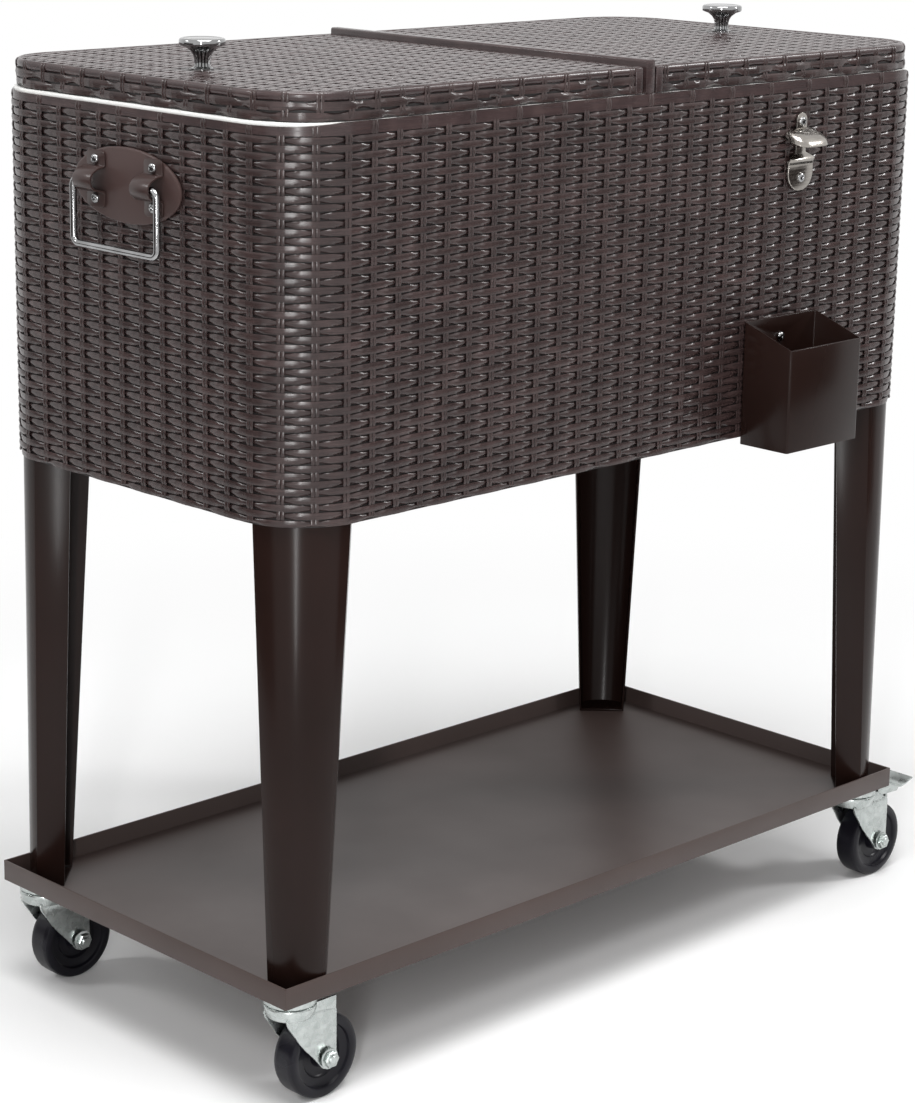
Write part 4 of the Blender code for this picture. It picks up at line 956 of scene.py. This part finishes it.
def makeBracket(node, place, way):
    fold = [(d * mm, z * mm) for d, z in handleSizes["bracketFold"]]
    high, low = fold[0][1], fold[1][1]
    strip = sheetPiece(camel(node), (0, 0, (high + low) / 2), (0, math.pi / 2, 0),
                       (high - low, handleSizes["bracketWidth"]))
    startEdit(strip, "EDGE")
    pick(strip, lambda edge: edgeMiddle(edge).z < low + nearly, "EDGE")
    for (d0, z0), (d1, z1) in zip(fold[1:], fold[2:]):
        extrude((d1 - d0, 0, z1 - z0))
    faceToward(strip, (1, 0, 0))
    pick(strip, lambda vertex: abs(vertex.co.z) > high - nearly, "VERT")
    bevel(handleSizes["tabCorner"], 6, "VERTICES")
    endEdit()
    addModifier(strip, "SOLIDIFY", thickness=handleSizes["bracketSheet"], offset=1)
    easeEdges(strip, handleSizes["bracketEdge"], 50)
    setDown(strip, place, (0, 0, math.pi if way < 0 else 0))
    smooth(strip, 40)
    standIn(strip, node, bracketCoat)


def makeBail(node):
    # A square loop of wire: in from the front bracket, down, across, up and in to the back one
    inset, bend, stub = (handleSizes[key] for key in ("wireInset", "bend", "stub"))
    low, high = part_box(node)
    x, y, z = middleOf(node)
    top, bottom, half = high.z - inset, low.z + inset, (high.y - low.y) / 2 - inset
    wire = ring(camel(node), 20, handleSizes["wire"], (x, y - stub, top), (math.pi / 2, 0, 0))
    fall, inward = top - bottom - 2 * bend, (0, -(half - bend - stub), 0)
    runs = (inward, (0, 0, -fall), (0, 2 * (half - bend), 0), (0, 0, fall), inward)
    turns = ((y - half + bend, top - bend), (y - half + bend, bottom + bend),
             (y + half - bend, bottom + bend), (y + half - bend, top - bend))
    for index, run in enumerate(runs):
        extrude(run)
        if index < len(turns):
            bpy.ops.mesh.spin(steps=8, angle=-math.pi / 2, center=(x, *turns[index]), axis=(1, 0, 0))
    endEdit()
    mergeSeams(wire)
    closeEnds(wire)
    faceOut(wire, 50)
    standIn(wire, node, chromeSteel)


def wallSpot(node, way):
    # The middle of a node's side against the tub
    low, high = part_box(node)
    middle = middleOf(node)
    return Vector((high.x if way < 0 else low.x, middle.y, middle.z))


for side, way, axis in (("left", -1, "-X"), ("right", 1, "X")):
    node = f"{side}_handle_plate"
    plate = turned(camel(node), handleSizes["plateRings"], 96)
    setDown(plate, scale=(1, handleSizes["plateLength"], 1))
    setDown(plate, wallSpot(node, way), axisTurns[axis])
    faceOut(plate)
    standIn(plate, node, handleCoat)
    for end in ("front", "back"):
        node = f"{side}_handle_{end}_bracket"
        spot = wallSpot(node, way)
        makeBracket(node, spot, way)
        for lift, word in ((1, "Top"), (-1, "Bottom")):
            place = spot + Vector((way * handleSizes["bracketSheet"], 0, lift * handleSizes["screwHeight"]))
            addScrew(f"{side}{end.title()}Bracket{word}Screw", place, axis, handleSizes["screwTurns"][word])
    makeBail(f"{side}_bail")
print("handles done")

# Bottle opener: back plate with a tab and a rounded foot, a visor and a small jaw
openerSizes = {
    "sheet": 1.5 * mm,
    "edge": 0.35 * mm,
    "tab": (6.8 * mm, 18 * mm, 1.5 * mm),  # half width, height, how far it stands out
    "tabCorner": 6.664 * mm,
    "foot": (16.5 * mm, 26 * mm, 2.4 * mm),
    "footCorner": 15.5 * mm,
    "footEdge": 0.8 * mm,
    "spine": (6.5 * mm, 1 * mm, 17 * mm),  # half width, start below the foot's top, end below the tab's
    # (half width, reach, drop from the opener's top) of the visor from its neck to its lip
    "visor": ((7.6, 1.5, 12.4), (11.4, 5.6, 12.9), (15.2, 10.6, 13.8), (18.2, 15.2, 15.4), (19.8, 18.2, 17.6),
              (20.4, 19.4, 19.6), (20.6, 19.8, 20.8), (21.0, 20.2, 21.6)),
    "visorCorner": 3.6,
    "visorSlope": 0.27,  # the visor drops this much for each unit that it reaches out
    "visorEdge": 0.45 * mm,
    # (half width, reach, drop) of the jaw, a shoulder that rolls out of the foot and back to the wall
    "jaw": ((16.5, 2.4, 44.0), (16.5, 2.9, 41.6), (16.4, 4.0, 40.3), (16.2, 4.6, 39.3), (15.7, 4.3, 38.2),
            (14.0, 3.2, 36.8), (10.5, 2.0, 35.0), (7.0, 1.5, 33.5)),
    "jawSheet": 1.2 * mm,
}
openerLow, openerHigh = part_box("bottle_opener")
openerX = (openerLow.x + openerHigh.x) / 2
openerWall, openerTop, openerFoot = openerHigh.y, openerHigh.z, openerLow.z


def openerPlate(name, half, stand, low, high, atEnd=None, corner=0.0, segments=0):
    # A flat piece against the wall, whose corners at one end are rounded
    plate = block(name, (openerX - half, openerWall - stand, low), (openerX + half, openerWall, high))
    if atEnd:
        startEdit(plate, "EDGE")
        pick(plate, lambda edge: abs(edgeWay(edge).y) > mostly and atEnd(edgeMiddle(edge).z), "EDGE")
        bevel(corner, segments)
        endEdit()
    return plate


def makeVisor():
    # A half ring, squared at its corners, is drawn down and out from the neck
    levels = openerSizes["visor"]
    w0, d0, drop0 = levels[0]
    visor = ring("visor", 64, 1, (openerX, openerWall, openerTop - drop0 * mm))
    pick(visor, lambda vertex: vertex.co.y > openerWall + mm, "VERT")
    bpy.ops.mesh.delete(type="VERT")
    power = 2 / openerSizes["visorCorner"]
    for vertex in bmesh.from_edit_mesh(visor.data).verts:
        x, y = vertex.co.x - openerX, openerWall - vertex.co.y
        vertex.co.x = openerX + math.copysign(abs(x) ** power, x) * w0 * mm
        vertex.co.y = openerWall - max(y, 0) ** power * d0 * mm
    bmesh.update_edit_mesh(visor.data)
    bpy.ops.mesh.select_mode(type="EDGE")
    bpy.ops.mesh.select_all(action="SELECT")
    for (w0, d0, drop0), (w1, d1, drop1) in zip(levels, levels[1:]):
        extrude((0, 0, (drop0 - drop1) * mm), (w1 / w0, d1 / d0, 1), (openerX, openerWall, 0))
    for vertex in bmesh.from_edit_mesh(visor.data).verts:
        vertex.co.z -= openerSizes["visorSlope"] * (openerWall - vertex.co.y)
    bmesh.update_edit_mesh(visor.data)
    faceToward(visor, (0, -1, 0.5))
    endEdit()
    addModifier(visor, "SOLIDIFY", thickness=openerSizes["sheet"], offset=-1)
    easeEdges(visor, openerSizes["visorEdge"], 55, 3)
    return visor


def makeJaw():
    # It rolls out of the foot's top edge
    path = [(w * mm, d * mm, openerTop - drop * mm) for w, d, drop in openerSizes["jaw"]]
    (w0, d0, z0), (w1, d1, z1) = path[:2]
    jaw = sheetPiece("jaw", (openerX, openerWall - d0, (z0 + z1) / 2), (math.pi / 2, 0, 0), (2 * w0, z1 - z0))
    startEdit(jaw, "EDGE")
    pick(jaw, lambda edge: abs(edgeWay(edge).x) > mostly and edgeMiddle(edge).z > z1 - nearly, "EDGE")
    for (w0, d0, z0), (w1, d1, z1) in zip(path[1:], path[2:]):
        extrude((0, d0 - d1, z1 - z0), (w1 / w0, 1, 1), (openerX, 0, 0))
    faceToward(jaw, (0, -1, 0))
    endEdit()
    addModifier(jaw, "SOLIDIFY", thickness=openerSizes["jawSheet"], offset=-1)
    easeEdges(jaw, openerSizes["edge"], 65, 3)
    return jaw


def makeOpener():
    half, tall, stand = openerSizes["tab"]
    tab = openerPlate("tab", half, stand, openerTop - tall, openerTop, lambda z: z > openerTop - mm,
                      openerSizes["tabCorner"], 12)
    half, tall, stand = openerSizes["foot"]
    footTop, front = openerFoot + tall, openerWall - stand
    foot = openerPlate("foot", half, stand, openerFoot, footTop, lambda z: z < openerFoot + mm,
                       openerSizes["footCorner"], 16)
    startEdit(foot, "EDGE")
    pick(foot, lambda edge: edgeMiddle(edge).y < front + nearly and edgeMiddle(edge).z < footTop - mm, "EDGE")
    bevel(openerSizes["footEdge"], 3)
    endEdit()
    half, start, end = openerSizes["spine"]
    spine = openerPlate("spine", half, openerSizes["sheet"], footTop - start, openerTop - end)
    for piece in (tab, foot, spine):
        easeEdges(piece, openerSizes["edge"], 55)
    opener = joinPieces([foot, tab, spine, makeVisor(), makeJaw()], "bottleOpener")
    smooth(opener, 40)
    standIn(opener, "bottle_opener", polishedSteel)


makeOpener()
openerScrews = {
    "opener_top_screw": (30, openerWall - openerSizes["sheet"]),
    "opener_bottom_screw": (75, openerWall - openerSizes["foot"][2]),
    "catcher_screw": (50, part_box("catcher_screw")[0].y + screwSizes["height"] * mm),
}
for node, (turn, seat) in openerScrews.items():
    middle = middleOf(node)
    addScrew(camel(node), (middle.x, seat, middle.z), "-Y", turn, node)
bpy.data.objects.remove(screwMaster)
print("opener done")

# Casters: wheel with stepped sides, pressed crown, cheeks, axle with nuts
casterSizes = {
    "wheelRings": ((5.0, -12.2), (8.6, -12.2), (9.3, -11.6), (10.4, -5.2), (13.0, -4.6), (17.4, -4.9),
                   (18.4, -5.6), (19.2, -7.0), (24.6, -7.6), (26.2, -8.4), (27.2, -10.4), (28.3, -11.0),
                   (32.8, -11.0), (34.6, -10.1), (35.4, -8.4), (35.5, -6.0)),
    # the raceway's upper ring, a groove, and the fork's crown below it
    "crownRings": ((16.5, 91.2), (20.4, 91.0), (21.3, 90.4), (21.3, 88.8), (20.6, 88.2), (19.3, 88.0),
                   (19.3, 87.1), (20.7, 86.8), (21.2, 85.6), (21.1, 83.6), (20.4, 81.0), (19.6, 78.6),
                   (18.8, 76.8)),
    "crownSheet": 0.9 * mm,
    "crownEdge": 0.25 * mm,
    # each cheek of the fork, as (distance from the swivel, height): front edge from the crown down,
    # then the boss round the axle, then the rear edge up
    "cheekFront": ((20, 78.2), (-14.5, 79), (-15.5, 77.5), (-14, 73), (-11.5, 69), (-7.5, 63.5),
                   (-2.4, 55.5), (4.5, 47.3), (12, 39.5)),
    "cheekBoss": (9.3, 205, 350, 9),  # radius, first and last angle, points
    "cheekRear": ((36.3, 38), (36.3, 74.6), (35.2, 75.6)),
    "cheekFaces": (12.6 * mm, 14.65 * mm),
    "cheekEdge": 0.35 * mm,
    "washer": ((8.2, 14.7), (8.6, 14.9), (8.6, 15.5), (8.2, 15.7)),
    "nut": ((6.4, 15.7), (7.0, 16.2), (7.0, 19.0), (6.4, 19.5)),
    "bolt": ((3.2, -20.8), (3.9, -20.2), (3.9, 20.2), (3.2, 20.8)),
}


def makeCrown(name, swivel):
    levels = casterSizes["crownRings"]
    crown = ring(name, 64, levels[0][0] * mm, (swivel.x, swivel.y, levels[0][1] * mm))
    for (r0, z0), (r1, z1) in zip(levels, levels[1:]):
        extrude((0, 0, (z1 - z0) * mm), (r1 / r0, r1 / r0, 1), (swivel.x, swivel.y, 0))
    endEdit()
    faceOut(crown)
    addModifier(crown, "SOLIDIFY", thickness=casterSizes["crownSheet"], offset=-1)
    easeEdges(crown, casterSizes["crownEdge"], 50)
    return crown


def makeCheek(name, swivel, hub, way):
    radius, first, last, count = casterSizes["cheekBoss"]
    outline = list(casterSizes["cheekFront"])
    for i in range(count):
        angle = math.radians(first + (last - first) * i / (count - 1))
        outline.append(((hub.x - swivel.x) / mm + radius * math.cos(angle),
                        hub.z / mm + radius * math.sin(angle)))
    outline += casterSizes["cheekRear"]
    inner, outer = casterSizes["cheekFaces"]
    cheek = ring(name, len(outline), 1, (0, 0, 0), fill="NGON")
    for vertex, (x, z) in zip(bmesh.from_edit_mesh(cheek.data).verts, outline):
        vertex.co = (swivel.x + x * mm, swivel.y + way * inner, z * mm)
    bmesh.update_edit_mesh(cheek.data)
    extrude((0, way * (outer - inner), 0), faces=True)
    endEdit()
    faceOut(cheek)
    easeEdges(cheek, casterSizes["cheekEdge"], 50)
    return cheek


def makeAxle(name, centre):
    bits = [turned("bolt", casterSizes["bolt"], 32)]
    for way in (1, -1):
        washer, nut = ([(r, way * h) for r, h in casterSizes[key]] for key in ("washer", "nut"))
        bits.append(turned("washer", washer, 40))
        bits.append(setDown(turned("nut", nut, 6), turn=(0, 0, math.radians(30))))
    axle = joinPieces(bits, name)
    setDown(axle, centre, axisTurns["Y"])
    smooth(axle, 30)
    return axle


def makeCaster(place):
    wheel, axle = f"{place}_caster_wheel", f"{place}_caster_axle"
    hub, swivel = middleOf(wheel), middleOf(f"{place}_caster_mount")
    half = casterSizes["wheelRings"]
    rings = half + tuple((r, -h) for r, h in reversed(half))
    standIn(turned(camel(wheel), rings, 72, hub, "Y", 30), wheel, wheelPlastic)
    name = camel(f"{place}_caster")
    covers = [makeCrown(name + "Crown", swivel)]
    for way, side in ((-1, "Front"), (1, "Back")):
        covers.append(makeCheek(f"{name}{side}Cheek", swivel, hub, way))
    for piece in covers:
        smooth(piece, 40)
        dress(piece, f"{place}_fork", "zinc_plate", zincSteel)
    standIn(makeAxle(camel(axle), middleOf(axle)), axle, zincSteel)


for place in ("front_left", "front_right", "back_left", "back_right"):
    makeCaster(place)
print("casters done")

# What is left of the CAD nodes gets its finish
slotMaterials = {
    "woven_resin": bandResin,
    "foam": foamMaterial,
    "white_plastic": whitePlastic,
    "polished_steel": chromeSteel,
    "brown_enamel": brownCoat,
    "dark_enamel": darkCoat,
    "zinc_plate": zincSteel,
    "black_plastic": blackPlastic,
}
for name, node in nodes.items():
    if not node.hide_render:
        node.data.materials.clear()
        node.data.materials.append(slotMaterials[nodeSlots[name]])
for guide in (tubGuide, lidGuide):
    bpy.data.objects.remove(guide)


# Studio: pale floor, dark cards, soft lamps, camera at the photograph's angle
def lookAlong(piece, place, forward, roll=0.0):
    forward = Vector(forward).normalized()
    right = forward.cross(Vector((0, 0, 1))).normalized()
    up = right.cross(forward)
    side = math.cos(roll) * right + math.sin(roll) * up
    top = -math.sin(roll) * right + math.cos(roll) * up
    turn = Matrix((side, top, -forward)).transposed()
    piece.matrix_world = Matrix.Translation(Vector(place)) @ turn.to_4x4()


cameraSizes = {
    "place": (-1.7196, -1.67735, 1.0056),
    "forward": (0.6761, 0.6899, -0.2587),
    "roll": 0.0155,
    "photo": (915, 1103),  # the photograph's pixels
    "focal": 2822.86,  # in those pixels
    "centre": (437.43, 543.59),
    "sensor": 36,
}
wide, high = cameraSizes["photo"]
bpy.ops.object.camera_add()
camera = bpy.context.object
camera.data.sensor_width = cameraSizes["sensor"]
camera.data.lens = cameraSizes["focal"] * cameraSizes["sensor"] / high
camera.data.shift_x = (wide / 2 - cameraSizes["centre"][0]) / high
camera.data.shift_y = (cameraSizes["centre"][1] - high / 2) / high
camera.data.clip_end = 50
lookAlong(camera, cameraSizes["place"], cameraSizes["forward"], cameraSizes["roll"])
bpy.context.scene.camera = camera


def seenRays(tree):
    # 1 for the camera and for what is seen in metal or through glass, 0 for the light on the object
    rays = addNode(tree, "LightPath")
    first = addNode(tree, "Math", {"operation": "MAXIMUM"},
                    {0: (rays, "Is Camera Ray"), 1: (rays, "Is Glossy Ray")})
    return addNode(tree, "Math", {"operation": "MAXIMUM"},
                   {0: (first, "Value"), 1: (rays, "Is Transmission Ray")})


def mattePaint(name, dark, light, roughness):
    # Studio paint: matte, with a faint mottle a third of a metre wide
    material, tree, shader, place = newMaterial(name, Roughness=roughness)
    mottle = addNode(tree, "TexNoise", links={"Vector": (place, "Object")}, sockets={"Scale": 3.0})
    finish(tree, shader, (mottle, "Fac", ((0.3, dark), (0.7, light))))
    return material, tree, shader, place


floorSizes = {"size": 12, "fadeStart": 0.55, "fadeEnd": 1.5}
floor = sheetPiece("studioFloor", (0, 0, 0), (0, 0, 0), (floorSizes["size"], floorSizes["size"]))
floorMaterial, tree, shader, place = mattePaint("paleStudioFloor", grey(0.92), grey(0.94), 0.7)
# Away from the object the floor turns into plain white, so that it has no edge against the backdrop
far = addNode(tree, "VectorMath", {"operation": "LENGTH"}, {0: (place, "Object")})
fade = addNode(tree, "MapRange", {"interpolation_type": "SMOOTHSTEP"}, {"Value": (far, "Value")},
               {"From Min": floorSizes["fadeStart"], "From Max": floorSizes["fadeEnd"]})
# Only the camera and reflections see that white, and it adds no light to the object
seen = addNode(tree, "Math", {"operation": "MULTIPLY"},
               {0: (fade, "Result"), 1: (seenRays(tree), "Value")})
glow = addNode(tree, "Emission", sockets={"Color": (1, 1, 1, 1), "Strength": 1.0})
blend = addNode(tree, "MixShader",
                links={"Fac": (seen, "Value"), 1: (shader, "BSDF"), 2: (glow, "Emission")})
tree.links.new(blend.outputs["Shader"], tree.nodes["Material Output"].inputs["Surface"])
floor.data.materials.append(floorMaterial)

# Dark cards on both sides of the camera, as photographers use, seen only in reflections
cards = {
    "frontDarkCard": {"place": (1.7, -1.7, 0.36), "size": (2.0, 0.7), "turn": 0},
    "sideDarkCard": {"place": (-1.75, 0.9, 0.36), "size": (2.0, 0.7), "turn": 90},
}
cardMaterial = mattePaint("darkCard", linear("#453e3c"), linear("#504846"), 0.9)[0]
for name, value in cards.items():
    card = sheetPiece(name, value["place"], (math.pi / 2, 0, math.radians(value["turn"])), value["size"])
    card.data.materials.append(cardMaterial)
    card.visible_camera = card.visible_diffuse = card.visible_shadow = False

lamps = {
    "topSoftbox": {"place": (-0.5, -0.7, 3.0), "size": (1.8, 1.2), "power": 80},
    "frontSoftbox": {"place": (2.2, -1.7, 2.1), "size": (0.5, 0.5), "power": 29},
    "cornerStrip": {"place": (-2.2, -1.85, 1.05), "size": (0.1, 1.8), "power": 32},
    "backSoftbox": {"place": (-2.5, 1.8, 2.5), "size": (0.6, 0.6), "power": 20},
}
lampAim = Vector((0, 0, 0.5))
for name, lamp in lamps.items():
    bpy.ops.object.light_add(type="AREA")
    light = bpy.context.object
    light.name = name
    light.data.shape = "RECTANGLE"
    light.data.size, light.data.size_y = lamp["size"]
    light.data.energy = lamp["power"]
    light.visible_camera = False
    lookAlong(light, lamp["place"], lampAim - Vector(lamp["place"]))

world = bpy.data.worlds.new("studioWorld")
bpy.context.scene.world = world
world.use_nodes = True
tree = world.node_tree
ambient = tree.nodes["Background"]
ambient.inputs["Color"].default_value = linear("#f4f4f4")
ambient.inputs["Strength"].default_value = 0.32
# White for the camera and in reflections, a lower level for the light that falls on the object
white = addNode(tree, "Background", sockets={"Color": (1, 1, 1, 1), "Strength": 1.0})
seen = addNode(tree, "MixShader",
               links={"Fac": (seenRays(tree), "Value"), 1: (ambient, "Background"), 2: (white, "Background")})
tree.links.new(seen.outputs["Shader"], tree.nodes["World Output"].inputs["Surface"])
bpy.context.scene.view_settings.view_transform = "Standard"
print("studio done")
